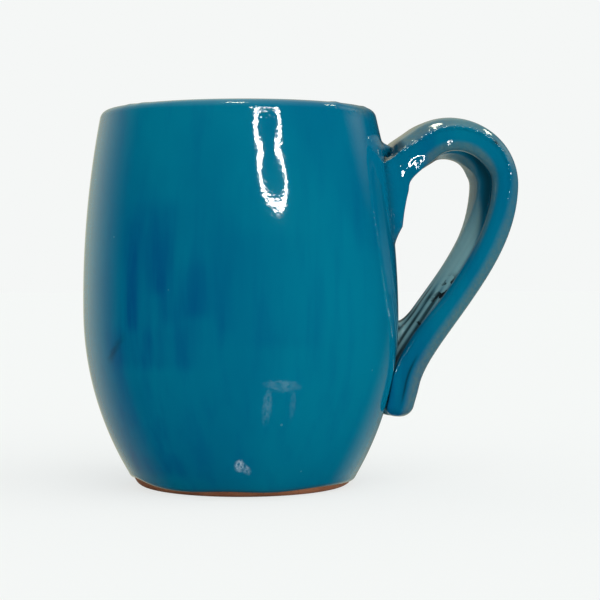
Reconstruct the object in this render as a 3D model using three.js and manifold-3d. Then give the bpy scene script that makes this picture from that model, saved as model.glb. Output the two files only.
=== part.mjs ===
// Hand-thrown barrel mug: a red clay body, a pulled strap handle slipped on to its wall, and a glaze coat.
// Millimetres, +Z up, origin at the centre of the foot, handle towards +X.
import * as THREE from "three";
import { mergeVertices } from "three/addons/utils/BufferGeometryUtils.js";
import Module from "manifold-3d";

// Outside of the body, measured over the glaze
const HEIGHT = 108;
const BELLY_RADIUS = 45.5;
const BELLY_HEIGHT = 49;
const LIP_RADIUS = 39.8;

// Clay of the body
const LIP_WALL = 4.2;
const BELLY_WALL = 5.2;
const FOOT_RADIUS = 29;
const FOOT_EDGE = 2.6;
const FLOOR = 6.5;
const FLOOR_RADIUS = 21;
const FLOOR_CORNER = 11;

// Coats: the glaze, the slip under the handle's ends, and the fine line between fired layers
const GLAZE = 0.5;
const SLIP = 0.4;
const BOND = 0.1;
const GLAZE_LINE = 1.6;

// Section of the handle's strap: a rounded edge band with a rib along the inner face
const STRAP_WIDTH = 20;
const STRAP_THICKNESS = 8.3;
const STRAP_RIB = 2.8;
const RIB_HALF_WIDTH = 5;
const RIB_RUN = 50;
const STRAP_SQUARENESS = 2.6;

// Line of the handle: up out of the wall, round the bow, down a slant and on to the wall again
const ROOT_DROP = 18;
const ROOT_ANGLE = 54;
const ROOT_EASE = 5;
const ROOT_SWELL = 7.5;
const ROOT_WIDEN = 3;
const ROOT_BLEND = 28;
const ROOT_LEAD = 18;
const HANDLE_REACH = 35.5;
const BOW_RADIUS = 14.3;
const BOW_DROP = 21.1;
const BOW_START = 126;
const BOW_END = -2;
const BOW_EASE = 24;
const LANDING_HEIGHT = 29;
const LANDING_EASE = 15;
const TAIL_HEIGHT = 20;
const TAIL_PRESS = 0.7;
const TAIL_ROUND = 2.6;

// Fineness of the faceted surfaces
const TURNS = 44;
const FOOT_STEPS = 3;
const WALL_STEPS = 5;
const LIP_STEPS = 3;
const CORNER_STEPS = 4;
const STRAP_STEPS = 30;
const TAIL_STEPS = 3;
const SECTION_STEPS = 16;
const MERGE_DISTANCE = 1e-4;

const CLAY = { color: 0xb4683c, roughness: 0.85, metalness: 0 };
const SLIP_CLAY = { color: 0x9c5a36, roughness: 0.9, metalness: 0 };
const TEAL_GLAZE = { color: 0x006b8a, roughness: 0.08, metalness: 0 };

const COAT = BOND + GLAZE;
const SLIP_BED = BOND + SLIP + BOND;
const QUARTER = Math.PI / 2;
const MIDWAY = 0.5;
const radians = THREE.MathUtils.degToRad;
const point = (x, z) => new THREE.Vector2(x, z);

const wasm = await Module();
wasm.setup();

// Arcs of the wall's section

// Radius of an arc that leaves the belly upright and runs tangent to a small round.
// The round lies inside the arc, or outside it where its radius is given as negative.
function tangentRadius(belly, round, roundRadius) {
  const across = belly - round.x;
  const along = round.y - BELLY_HEIGHT;
  const squares = across ** 2 + along ** 2 - roundRadius ** 2;
  return squares / (2 * (across - roundRadius));
}

// An arc of the wall from the belly to a small round: centre, radius and the angle where it meets the round.
function wallArc(belly, round, roundRadius) {
  const radius = tangentRadius(belly, round, roundRadius);
  const centre = point(belly - radius, BELLY_HEIGHT);
  return { centre, radius, end: Math.atan2(round.y - centre.y, round.x - centre.x) };
}

function arcPoints(centre, radius, from, to, steps) {
  return Array.from({ length: steps + 1 }, (_, i) => {
    const angle = from + ((to - from) * i) / steps;
    return point(centre.x + radius * Math.cos(angle), centre.y + radius * Math.sin(angle));
  });
}

const lipRound = LIP_WALL / 2;
const clayBelly = BELLY_RADIUS - COAT;
const lip = point(LIP_RADIUS - COAT - lipRound, HEIGHT - COAT - lipRound);
const foot = point(FOOT_RADIUS, FOOT_EDGE);
const corner = point(FLOOR_RADIUS, FLOOR + FLOOR_CORNER);
const outerUpper = wallArc(clayBelly, lip, lipRound);
const outerLower = wallArc(clayBelly, foot, FOOT_EDGE);
const innerUpper = wallArc(clayBelly - BELLY_WALL, lip, -lipRound);
const innerLower = wallArc(clayBelly - BELLY_WALL, corner, FLOOR_CORNER);

// The outside of the clay from the foot to the lip's crown, or a coat's face that lies a distance off it.
function outsideLine(off) {
  return [
    ...arcPoints(foot, FOOT_EDGE + off, -QUARTER, outerLower.end, FOOT_STEPS).slice(0, -1),
    ...arcPoints(outerLower.centre, outerLower.radius + off, outerLower.end, 0, WALL_STEPS).slice(0, -1),
    ...arcPoints(outerUpper.centre, outerUpper.radius + off, 0, outerUpper.end, WALL_STEPS).slice(0, -1),
    ...arcPoints(lip, lipRound + off, outerUpper.end, QUARTER, LIP_STEPS),
  ];
}

// The inside of the clay from the lip's crown to the floor's middle, or a coat's face at a distance off it.
function insideLine(off, crown = QUARTER) {
  return [
    ...arcPoints(lip, lipRound + off, crown, Math.PI + innerUpper.end, LIP_STEPS).slice(0, -1),
    ...arcPoints(innerUpper.centre, innerUpper.radius - off, innerUpper.end, 0, WALL_STEPS).slice(0, -1),
    ...arcPoints(innerLower.centre, innerLower.radius - off, 0, innerLower.end, WALL_STEPS).slice(0, -1),
    ...arcPoints(corner, FLOOR_CORNER - off, innerLower.end, -QUARTER, CORNER_STEPS),
    point(0, FLOOR + off),
  ];
}

// The part of a line that lies above a height, with its first point moved to that height.
function lineAbove(line, height) {
  const next = line.findIndex((p) => p.y > height);
  const below = line[next - 1];
  const share = (height - below.y) / (line[next].y - below.y);
  return [below.clone().lerp(line[next], share), ...line.slice(next)];
}

function turned(line) {
  return new THREE.LatheGeometry(line, TURNS).rotateX(QUARTER);
}

// The full round that the outside line encloses, used to cut pieces that stand on the wall.
function plug(off) {
  return solidOf(turned([point(0, -off), ...outsideLine(off), point(0, HEIGHT - COAT + off)]));
}

// Solids

function solidOf(geometry) {
  const bare = geometry.clone();
  bare.deleteAttribute("normal");
  bare.deleteAttribute("uv");
  const merged = mergeVertices(bare, MERGE_DISTANCE);
  return new wasm.Manifold(
    new wasm.Mesh({
      numProp: 3,
      vertProperties: merged.attributes.position.array,
      triVerts: new Uint32Array(merged.index.array),
    }),
  );
}

function geometryOf(solid) {
  const mesh = solid.getMesh();
  return new THREE.BufferGeometry()
    .setAttribute("position", new THREE.BufferAttribute(mesh.vertProperties, 3))
    .setIndex(new THREE.BufferAttribute(mesh.triVerts, 1));
}

// Handle

// A clockwise arc as a curve of the strap's line.
function roundCurve(centre, radius, from, to) {
  return new THREE.EllipseCurve(centre.x, centre.y, radius, radius, from, to, true);
}

// The strap's middle line in the handle's plane, x outwards and y up, and the length of it inside the wall.
function strapLine() {
  const rootHeight = HEIGHT - ROOT_DROP;
  const rise = point(Math.cos(radians(ROOT_ANGLE)), Math.sin(radians(ROOT_ANGLE)));
  const wallAtRoot = Math.sqrt(outerUpper.radius ** 2 - (rootHeight - BELLY_HEIGHT) ** 2);
  const root = point(outerUpper.centre.x + wallAtRoot, rootHeight);
  const buried = (STRAP_THICKNESS + ROOT_SWELL) * Math.tan(radians(ROOT_ANGLE));

  const bow = point(BELLY_RADIUS + HANDLE_REACH - STRAP_THICKNESS / 2 - BOW_RADIUS, HEIGHT - BOW_DROP);
  const [bowStart, bowEnd] = arcPoints(bow, BOW_RADIUS, radians(BOW_START), radians(BOW_END), 1);
  const intoBow = point(Math.sin(radians(BOW_START)), -Math.cos(radians(BOW_START)));
  const outOfBow = point(Math.sin(radians(BOW_END)), -Math.cos(radians(BOW_END)));

  const tailRadius = outerLower.radius + SLIP_BED + STRAP_THICKNESS / 2 - TAIL_PRESS;
  const landingAngle = Math.asin((LANDING_HEIGHT - BELLY_HEIGHT) / tailRadius);
  const tailAngle = Math.asin((TAIL_HEIGHT - BELLY_HEIGHT) / tailRadius);
  const [landing] = arcPoints(outerLower.centre, tailRadius, landingAngle, tailAngle, 1);
  const upTheWall = point(-Math.sin(landingAngle), Math.cos(landingAngle));

  const line = new THREE.CurvePath();
  const along = (from, direction, distance) => from.clone().addScaledVector(direction, distance);
  line.add(new THREE.LineCurve(along(root, rise, -buried), root));
  const outOfRoot = along(root, rise, ROOT_EASE);
  line.add(new THREE.CubicBezierCurve(root, outOfRoot, along(bowStart, intoBow, -ROOT_EASE), bowStart));
  line.add(roundCurve(bow, BOW_RADIUS, radians(BOW_START), radians(BOW_END)));
  const ontoWall = along(landing, upTheWall, LANDING_EASE);
  line.add(new THREE.CubicBezierCurve(bowEnd, along(bowEnd, outOfBow, BOW_EASE), ontoWall, landing));
  line.add(roundCurve(outerLower.centre, tailRadius, landingAngle, tailAngle));
  return { line, buried };
}

// Sizes of the strap's section at a distance past the wall: it swells into the root, and the rib runs in.
function strapSizes(pastWall) {
  const root = THREE.MathUtils.clamp((ROOT_LEAD - pastWall) / ROOT_BLEND, 0, 1) ** 2;
  return {
    outer: STRAP_THICKNESS / 2,
    inner: STRAP_THICKNESS / 2 + ROOT_SWELL * root,
    wide: STRAP_WIDTH / 2 + ROOT_WIDEN * root,
    rib: STRAP_RIB * THREE.MathUtils.clamp(pastWall / RIB_RUN, 0, 1),
  };
}

// Where the strap's sections stand along its line, and how far round the tail's end each of them is.
function strapStations(length) {
  const straight = length - TAIL_ROUND;
  const run = Array.from({ length: STRAP_STEPS }, (_, i) => {
    return { distance: (straight * i) / STRAP_STEPS, turn: 0 };
  });
  const end = Array.from({ length: TAIL_STEPS + 1 }, (_, i) => {
    const turn = (QUARTER * i) / TAIL_STEPS;
    return { distance: straight + TAIL_ROUND * Math.sin(turn), turn };
  });
  return [...run, ...end];
}

// A closed section of the strap, grown all round: across is outwards in the handle's plane, side is along Y.
function strapSection(sizes, grow) {
  const rounded = (value) => Math.sign(value) * Math.abs(value) ** (2 / STRAP_SQUARENESS);
  return Array.from({ length: SECTION_STEPS }, (_, i) => {
    const angle = (2 * Math.PI * i) / SECTION_STEPS;
    const face = rounded(Math.cos(angle));
    const side = (sizes.wide + grow) * rounded(Math.sin(angle));
    const rib = sizes.rib * Math.exp(-((side / RIB_HALF_WIDTH) ** 2));
    const across = face > 0 ? (sizes.outer + grow) * face : (sizes.inner + grow + rib) * face;
    return { across, side };
  });
}

// The strap, or the stretch of it between two shares of its length, grown all round by a coat's thickness.
function strap(grow, from = 0, to = 1) {
  const { line, buried } = strapLine();
  const length = line.getLength();
  const inStretch = ({ distance }) => distance >= from * length && distance <= to * length;
  const rings = strapStations(length)
    .filter(inStretch)
    .map(({ distance, turn }) => {
      const share = Math.min(distance / length, 1);
      const tangent = line.getTangent(share);
      const middle = line.getPoint(share).addScaledVector(tangent, grow * Math.sin(turn));
      const outwards = point(-tangent.y, tangent.x);
      const sizes = strapSizes(distance - buried);
      const growRound = grow * Math.cos(turn) - TAIL_ROUND * (1 - Math.cos(turn));
      return strapSection(sizes, growRound).map(({ across, side }) => {
        const { x, y } = middle.clone().addScaledVector(outwards, across);
        return new THREE.Vector3(x, side, y);
      });
    });
  return solidOf(loft(rings));
}

// A closed surface through rings of points, with a fan over each end ring.
function loft(rings) {
  const size = rings[0].length;
  const middleOf = (ring) => ring.reduce((sum, p) => sum.add(p), new THREE.Vector3()).divideScalar(size);
  const points = [...rings.flat(), middleOf(rings[0]), middleOf(rings.at(-1))];
  const first = rings.length * size;
  const last = first + 1;
  const lastRing = first - size;
  const faces = [];
  for (let k = 0; k < size; k++) {
    const next = (k + 1) % size;
    for (let ring = 0; ring < lastRing; ring += size) {
      faces.push(ring + k, ring + size + k, ring + next);
      faces.push(ring + next, ring + size + k, ring + size + next);
    }
    faces.push(first, k, next);
    faces.push(last, lastRing + next, lastRing + k);
  }
  return new THREE.BufferGeometry().setFromPoints(points).setIndex(faces);
}

// Pieces

function clayBody() {
  return turned([point(0, 0), ...outsideLine(0), ...insideLine(0).slice(1)]);
}

function linerGlaze() {
  const crown = QUARTER + BOND / (lipRound + COAT);
  return turned([...insideLine(BOND, crown).reverse(), ...insideLine(COAT, crown)]);
}

function outerGlaze() {
  const face = lineAbove(outsideLine(COAT), GLAZE_LINE);
  const back = lineAbove(outsideLine(BOND), GLAZE_LINE).reverse();
  const ring = solidOf(turned([...face, ...back, face[0].clone()]));
  return geometryOf(ring.subtract(strap(BOND)));
}

function handleStrap() {
  return geometryOf(strap(0).subtract(plug(SLIP_BED)));
}

function handleGlaze() {
  return geometryOf(strap(COAT).subtract(strap(BOND)).subtract(plug(COAT + BOND)));
}

// The slip under one end of the strap, from the half of its length that the two shares give.
function slipBed(from, to) {
  const bed = plug(BOND + SLIP).subtract(plug(BOND));
  return geometryOf(strap(0, from, to).intersect(bed));
}

function piece(name, geometry, finish) {
  const mesh = new THREE.Mesh(geometry, new THREE.MeshStandardMaterial(finish));
  mesh.name = name;
  return mesh;
}

const body = new THREE.Group().add(
  piece("clay_body", clayBody(), CLAY),
  piece("liner_glaze", linerGlaze(), TEAL_GLAZE),
  piece("outer_glaze", outerGlaze(), TEAL_GLAZE),
);

const handle = new THREE.Group().add(
  piece("handle_strap", handleStrap(), CLAY),
  piece("handle_glaze", handleGlaze(), TEAL_GLAZE),
  piece("upper_slip_bed", slipBed(0, MIDWAY), SLIP_CLAY),
  piece("lower_slip_bed", slipBed(MIDWAY, 1), SLIP_CLAY),
);

const mug = new THREE.Group().add(body, handle);

export default mug;
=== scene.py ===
"""A hand-thrown barrel mug with a pulled strap handle: teal glaze over red clay.

Metres, +Z up, origin at the centre of the foot, handle towards +X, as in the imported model.
"""

import logging
import math
from dataclasses import dataclass
from enum import Enum

import bmesh
import bpy
import numpy as np
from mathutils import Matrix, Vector


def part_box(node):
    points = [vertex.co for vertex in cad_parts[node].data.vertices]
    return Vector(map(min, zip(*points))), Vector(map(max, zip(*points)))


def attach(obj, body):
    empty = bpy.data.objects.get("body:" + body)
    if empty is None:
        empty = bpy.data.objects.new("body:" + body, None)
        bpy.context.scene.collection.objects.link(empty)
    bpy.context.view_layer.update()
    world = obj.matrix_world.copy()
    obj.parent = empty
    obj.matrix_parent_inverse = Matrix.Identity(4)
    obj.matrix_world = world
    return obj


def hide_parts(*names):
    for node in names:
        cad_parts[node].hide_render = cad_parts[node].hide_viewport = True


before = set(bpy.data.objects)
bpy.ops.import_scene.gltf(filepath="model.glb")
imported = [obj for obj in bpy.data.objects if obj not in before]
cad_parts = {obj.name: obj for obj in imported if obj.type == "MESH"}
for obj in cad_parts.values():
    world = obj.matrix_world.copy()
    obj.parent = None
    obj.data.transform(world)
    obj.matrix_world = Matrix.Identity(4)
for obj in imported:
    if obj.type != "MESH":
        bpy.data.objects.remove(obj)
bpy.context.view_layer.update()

MM = 0.001
QUARTER = math.pi / 2
TINY = 1e-6
FINE_STEPS = 20
SWING_WEIGHTS = (0.3, 1.0)
BODY = "root"
log = logging.getLogger("mug")

Pair = tuple[float, float]
Color = tuple[float, float, float, float]


class Slot(Enum):
    """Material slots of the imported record."""

    CLAY = "red_clay"
    GLAZE = "teal_glaze"
    SLIP = "slip"


class Mark(Enum):
    """What a piece's points say to its glaze: shares from 0 to 1, and more where it puckers strongly."""

    STREAK = "streak"
    # Pooled glaze, and painted shade in creases, crevices and joints where the strap meets the wall.
    POOL_AND_SHADE = "pool_and_shade"
    THIN = "thin"
    CRAWL = "crawl"
    PUCKER = "pucker"
    FROST = "frost"


def ease(value: np.ndarray, low: float, high: float) -> np.ndarray:
    """Climbs smoothly from 0 at low to 1 at high."""
    share = np.clip((value - low) / (high - low), 0.0, 1.0)
    return share * share * (3.0 - 2.0 * share)


def hump(value: np.ndarray, middle: float, reach: float) -> np.ndarray:
    """Is 1 at the middle and fades out over the reach on both sides."""
    return np.exp(-(((value - middle) / reach) ** 2))


def quarter_round(share: np.ndarray) -> np.ndarray:
    """Height of a quarter circle of radius 1 over its foot, from 0 at its edge to 1 at its top."""
    left = 1.0 - np.clip(share, 0.0, 1.0)
    return np.sqrt(1.0 - left * left)


def turned_from(angle: np.ndarray, place: float) -> np.ndarray:
    """Angles counted from a place round the bowl, from half a turn back to half a turn on."""
    return np.angle(np.exp(1j * (angle - place)))


@dataclass(frozen=True)
class Stretch:
    """A stretch over which something climbs from 0 to 1. It falls where the stop lies before the start."""

    start: float
    stop: float

    def share(self, value: np.ndarray) -> np.ndarray:
        """How far the climb has come."""
        return ease(value, self.start, self.stop)


@dataclass(frozen=True)
class Band:
    """A band in which something climbs from 0 to 1, stays there and falls again."""

    start: float
    full: float
    fading: float
    stop: float

    def share(self, value: np.ndarray) -> np.ndarray:
        """How much of it there is."""
        return ease(value, self.start, self.full) * ease(value, self.stop, self.fading)


@dataclass(frozen=True)
class Spot:
    """A place where something is 1 and from which it fades out over the reach on both sides."""

    middle: float
    reach: float

    def share(self, value: np.ndarray) -> np.ndarray:
        """How much of it there is."""
        return hump(value, self.middle, self.reach)


def crowded(start: float, stop: float, count: int, crowds: list[tuple[float, float, float]]) -> np.ndarray:
    """Places from start to stop that lie closer together in some stretches.

    Args:
        start: first place.
        stop: last place.
        count: number of places.
        crowds: middle, reach and weight of each stretch that has more of them.

    Returns:
        The places, in order.
    """
    fine = np.linspace(start, stop, FINE_STEPS * count)
    density = np.ones_like(fine)
    for middle, reach, weight in crowds:
        density += weight * hump(fine, middle, reach)
    total = np.cumsum(density)
    return np.interp(np.linspace(total[0], total[-1], count), total, fine)


def uneven(angle: np.ndarray, seed: int, waves: int) -> np.ndarray:
    """A smooth uneven line round a circle.

    Args:
        angle: places round the circle.
        seed: which line.
        waves: number of waves in the shortest swing.

    Returns:
        Heights of the line, mostly between -1 and 1.
    """
    chance = np.random.default_rng(seed)
    swings = np.arange(1, waves + 1)
    weights = chance.uniform(*SWING_WEIGHTS, waves) / np.sqrt(swings)
    starts = chance.uniform(0.0, 2.0 * math.pi, waves)
    line = sum(w * np.cos(n * angle + s) for w, n, s in zip(weights, swings, starts))
    return line / np.sqrt((weights**2).sum())


def closed_mesh(name: str, rows: np.ndarray, ends: np.ndarray | None = None) -> bpy.types.Object:
    """Makes one smooth closed mesh from rows of points that each close on themselves.

    Args:
        name: name of the piece.
        rows: points by row, by place in the row and by coordinate.
        ends: the points that close the first and the last row, or None to join those rows.

    Returns:
        The new piece, with its faces turned outwards.
    """
    count, size, _ = rows.shape
    place = np.arange(count * size).reshape(count, size)
    beside = np.roll(place, -1, axis=1)
    above = np.roll(place, -1, axis=0)
    above_beside = np.roll(beside, -1, axis=0)
    quads = np.stack([place, beside, above_beside, above], axis=-1)
    points = rows.reshape(-1, 3)
    if ends is None:
        faces = quads.reshape(-1, 4).tolist()
    else:
        first = count * size
        points = np.vstack([points, ends])
        faces = quads[:-1].reshape(-1, 4).tolist()
        faces += [[first, b, a] for a, b in zip(place[0], beside[0])]
        faces += [[first + 1, a, b] for a, b in zip(place[-1], beside[-1])]
    mesh = bpy.data.meshes.new(name)
    mesh.from_pydata(points.tolist(), [], faces)
    turned = bmesh.new()
    turned.from_mesh(mesh)
    if turned.calc_volume(signed=True) < 0:
        bmesh.ops.reverse_faces(turned, faces=turned.faces)
    turned.to_mesh(mesh)
    turned.free()
    mesh.shade_smooth()
    piece = bpy.data.objects.new(name, mesh)
    bpy.context.scene.collection.objects.link(piece)
    return piece


def mark(piece: bpy.types.Object, kind: Mark, shares: np.ndarray) -> None:
    """Writes a mark on a piece's points.

    Args:
        piece: the piece.
        kind: which mark.
        shares: its strength at the piece's first points. The others, on its back and at its ends, get none.
    """
    values = np.zeros(len(piece.data.vertices), np.float32)
    values[: shares.size] = shares.ravel()
    attribute = piece.data.attributes.new(kind.value, "FLOAT", "POINT")
    attribute.data.foreach_set("value", values)


def fit_piece(piece: bpy.types.Object, material: bpy.types.Material, slot: Slot, *nodes: str) -> None:
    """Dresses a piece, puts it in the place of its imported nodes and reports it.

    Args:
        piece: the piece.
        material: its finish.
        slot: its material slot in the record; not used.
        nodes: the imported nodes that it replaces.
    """
    piece.data.materials.append(material)
    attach(piece, BODY)
    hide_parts(*nodes)
    log.info("%s: %d faces, in the place of %s", piece.name, len(piece.data.polygons), ", ".join(nodes))


# Finishes


@dataclass(frozen=True)
class Clouds:
    """Cloudy noise of so many clouds to the metre, drawn out upwards by a stretch."""

    scale: float
    detail: float = 3.0
    stretch: float = 1.0


@dataclass(frozen=True)
class Span:
    """A range from low to high that is carried over to another from start to stop."""

    low: float
    high: float
    start: float = 0.0
    stop: float = 1.0


class Weave:
    """A net of shader nodes while it is put together."""

    FIRST_COLOR = 6
    SECOND_COLOR = 7
    MIXED_COLOR = 2
    RANGE_ENDS = slice(1, 5)

    def __init__(self, tree: bpy.types.NodeTree) -> None:
        """Works on a material's, a lamp's or the world's nodes."""
        self.tree = tree

    def node(self, kind: str, settings: dict[str, object], **inputs: object) -> bpy.types.Node:
        """Adds a node.

        Args:
            kind: the node's type, without its ShaderNode prefix.
            settings: the node's own settings.
            inputs: values or outputs of other nodes for its sockets, by name with _ for a space.

        Returns:
            The node.
        """
        made = self.tree.nodes.new("ShaderNode" + kind)
        for key, value in settings.items():
            setattr(made, key, value)
        for key, value in inputs.items():
            self.feed(made.inputs[key.replace("_", " ")], value)
        return made

    def feed(self, socket: bpy.types.NodeSocket, value: object) -> None:
        """Fills a socket.

        Args:
            socket: the socket.
            value: an output of another node, which is linked to it, or a plain value.
        """
        if isinstance(value, bpy.types.NodeSocket):
            self.tree.links.new(value, socket)
        else:
            socket.default_value = value

    def sum(self, kind: str, first: object, second: object, clamp: bool = True) -> bpy.types.NodeSocket:
        """Adds, takes away, multiplies or compares two values.

        Args:
            kind: Blender's word for what is done with them.
            first: the first value.
            second: the second value.
            clamp: whether the result is kept between 0 and 1.

        Returns:
            The result.
        """
        made = self.node("Math", {"operation": kind, "use_clamp": clamp})
        self.feed(made.inputs[0], first)
        self.feed(made.inputs[1], second)
        return made.outputs[0]

    def blend(self, share: object, first: object, second: object) -> bpy.types.NodeSocket:
        """Mixes two colours.

        Args:
            share: share of the second colour.
            first: the first colour.
            second: the second colour.

        Returns:
            The mixed colour.
        """
        made = self.node("Mix", {"data_type": "RGBA"})
        self.feed(made.inputs["Factor"], share)
        self.feed(made.inputs[self.FIRST_COLOR], first)
        self.feed(made.inputs[self.SECOND_COLOR], second)
        return made.outputs[self.MIXED_COLOR]

    def span(self, value: object, span: Span, bend: str = "SMOOTHSTEP") -> bpy.types.NodeSocket:
        """Carries a value from one range over to another.

        Args:
            value: the value.
            span: the two ranges.
            bend: Blender's word for the way between their ends.

        Returns:
            The value in the second range.
        """
        made = self.node("MapRange", {"interpolation_type": bend}, Value=value)
        ends = (span.low, span.high, span.start, span.stop)
        for socket, number in zip(made.inputs[self.RANGE_ENDS], ends):
            socket.default_value = number
        return made.outputs[0]

    def vector(self, kind: str, first: object, second: object) -> bpy.types.Node:
        """Takes two vectors together.

        Args:
            kind: Blender's word for what is done with them.
            first: the first vector.
            second: the second vector.

        Returns:
            The node, which has a vector and a value to give.
        """
        made = self.node("VectorMath", {"operation": kind})
        self.feed(made.inputs[0], first)
        self.feed(made.inputs[1], second)
        return made

    def within(self, place: object, shape: "Outline") -> bpy.types.NodeSocket:
        """Tells whether a place lies inside an outline.

        Args:
            place: the place, in shares of the lamp's face.
            shape: the outline.

        Returns:
            1 inside and 0 outside.
        """
        moved = self.vector("SUBTRACT", place, (*shape.middle, 0.0)).outputs[0]
        along = self.vector("DOT_PRODUCT", moved, (1.0 / shape.half[0], shape.slant / shape.half[0], 0.0))
        up = self.vector("DOT_PRODUCT", moved, (0.0, 1.0 / shape.half[1], 0.0))
        flat = self.node("CombineXYZ", {}, X=along.outputs["Value"], Y=up.outputs["Value"]).outputs[0]
        if shape.boxy:
            flat = self.vector("MULTIPLY", flat, flat).outputs[0]
        return self.sum("LESS_THAN", self.vector("DOT_PRODUCT", flat, flat).outputs["Value"], 1.0)


class Recipe(Weave):
    """A node material while it is put together."""

    def __init__(self, name: str) -> None:
        """Starts a material with its shader and with the piece's own coordinates.

        Args:
            name: name of the material.
        """
        self.material = bpy.data.materials.new(name)
        self.material.use_nodes = True
        super().__init__(self.material.node_tree)
        self.shader = self.tree.nodes["Principled BSDF"]
        self.place = self.node("TexCoord", {}).outputs["Object"]

    def noise(self, clouds: Clouds) -> bpy.types.NodeSocket:
        """Cloudy noise.

        Args:
            clouds: size and form of the clouds.

        Returns:
            The noise, from 0 to 1.
        """
        flat = self.node("Mapping", {}, Vector=self.place, Scale=(1.0, 1.0, 1.0 / clouds.stretch))
        made = self.node("TexNoise", {}, Vector=flat.outputs[0], Scale=clouds.scale, Detail=clouds.detail)
        return made.outputs[0]

    def dots(self, scale: float) -> bpy.types.NodeSocket:
        """Distance to the nearest of scattered dots, of so many to the metre."""
        return self.node("TexVoronoi", {}, Vector=self.place, Scale=scale).outputs["Distance"]

    def mark(self, kind: Mark) -> bpy.types.NodeSocket:
        """A mark that the piece's points hold."""
        return self.node("Attribute", {"attribute_name": kind.value}).outputs["Fac"]

    def bump(self, height: object, distance: float, below: object | None = None) -> bpy.types.NodeSocket:
        """A bumped surface.

        Args:
            height: how high it rises, as a share of the distance.
            distance: the most that it rises by.
            below: another bumped surface under it, if there is one.

        Returns:
            The surface's directions.
        """
        made = self.node("Bump", {}, Height=height, Distance=distance)
        if below is not None:
            self.feed(made.inputs["Normal"], below)
        return made.outputs[0]

    def finish(self, color: object, roughness: object, normal: object) -> bpy.types.Material:
        """Feeds the shader.

        Args:
            color: the surface's colour.
            roughness: its roughness.
            normal: its directions.

        Returns:
            The material.
        """
        self.feed(self.shader.inputs["Base Color"], color)
        self.feed(self.shader.inputs["Roughness"], roughness)
        self.feed(self.shader.inputs["Normal"], normal)
        return self.material


@dataclass(frozen=True)
class Glaze:
    """A glossy glaze that runs in streaks, darkens where it pools and where shade is painted into its
    creases and joints, and breaks to brown where it is thin.
    """

    name: str = "teal_glaze"
    pale: Color = (0.0, 0.165, 0.262, 1.0)
    main: Color = (0.0, 0.133, 0.236, 1.0)
    deep: Color = (0.0, 0.052, 0.184, 1.0)
    pool_and_shade_color: Color = (0.003, 0.020, 0.028, 1.0)
    broken: Color = (0.17, 0.20, 0.12, 1.0)
    crack: Color = (0.006, 0.010, 0.012, 1.0)
    speck: Color = (0.10, 0.30, 0.36, 1.0)
    frost: Color = (0.24, 0.44, 0.46, 1.0)
    runs: Clouds = Clouds(230.0, 4.0, stretch=9.0)
    clouds: Clouds = Clouds(30.0, stretch=1.8)
    grain: Clouds = Clouds(900.0)
    crackle: Clouds = Clouds(430.0, 2.0)
    skin: Clouds = Clouds(1300.0, 0.0)
    folds: Clouds = Clouds(800.0, 1.0)
    specks_to_metre: float = 110.0
    cloudy: Span = Span(0.35, 0.65)
    washed: Span = Span(0.45, 0.75, 0.0, 0.18)
    streaky: Span = Span(0.3, 0.62, 0.45, 1.0)
    grainy: Span = Span(0.4, 0.6, 0.7, 1.0)
    speckled: Span = Span(0.03, 0.05, 0.4, 0.0)
    crackled: Span = Span(0.5, 0.53)
    roughness: Span = Span(0.3, 0.7, 0.02, 0.045)
    crack_roughness: float = 0.03
    gloss: Span = Span(0.0, 0.12, 0.5, 0.06)
    peel: float = 0.0088 * MM
    pucker: float = 0.24 * MM
    pit: float = 0.05 * MM

    def material(self) -> bpy.types.Material:
        """Builds the node material.

        Returns:
            The material.
        """
        recipe = Recipe(self.name)
        runs = recipe.noise(self.runs)
        clouds = recipe.noise(self.clouds)
        color = recipe.blend(recipe.span(clouds, self.cloudy), self.main, self.pale)
        wash = recipe.span(runs, self.washed)
        streak = recipe.sum("MULTIPLY", recipe.mark(Mark.STREAK), recipe.span(runs, self.streaky))
        color = recipe.blend(recipe.sum("ADD", wash, streak), color, self.deep)
        frost = recipe.mark(Mark.FROST)
        color = recipe.blend(frost, color, self.frost)
        # Pooled glaze and painted shade in creases, crevices and joints darken towards the near-black pool
        # colour.
        color = recipe.blend(recipe.mark(Mark.POOL_AND_SHADE), color, self.pool_and_shade_color)
        grain = recipe.span(recipe.noise(self.grain), self.grainy)
        color = recipe.blend(recipe.sum("MULTIPLY", recipe.mark(Mark.THIN), grain), color, self.broken)
        specks = recipe.span(recipe.dots(self.specks_to_metre), self.speckled)
        color = recipe.blend(specks, color, self.speck)
        crackle = recipe.span(recipe.noise(self.crackle), self.crackled)
        crawl = recipe.sum("MULTIPLY", recipe.mark(Mark.CRAWL), crackle)
        color = recipe.blend(crawl, color, self.crack)
        dull = recipe.sum("MULTIPLY", crawl, self.crack_roughness)
        rough = recipe.sum("ADD", recipe.span(clouds, self.roughness), dull)
        peel = recipe.bump(recipe.noise(self.skin), self.peel)
        folds = recipe.sum("MULTIPLY", recipe.mark(Mark.PUCKER), recipe.noise(self.folds), clamp=False)
        folded = recipe.bump(folds, self.pucker, peel)
        pitted = recipe.bump(recipe.sum("SUBTRACT", 1.0, crawl), self.pit, folded)
        recipe.feed(recipe.shader.inputs["Specular IOR Level"], recipe.span(frost, self.gloss))
        return recipe.finish(color, rough, pitted)


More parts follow.
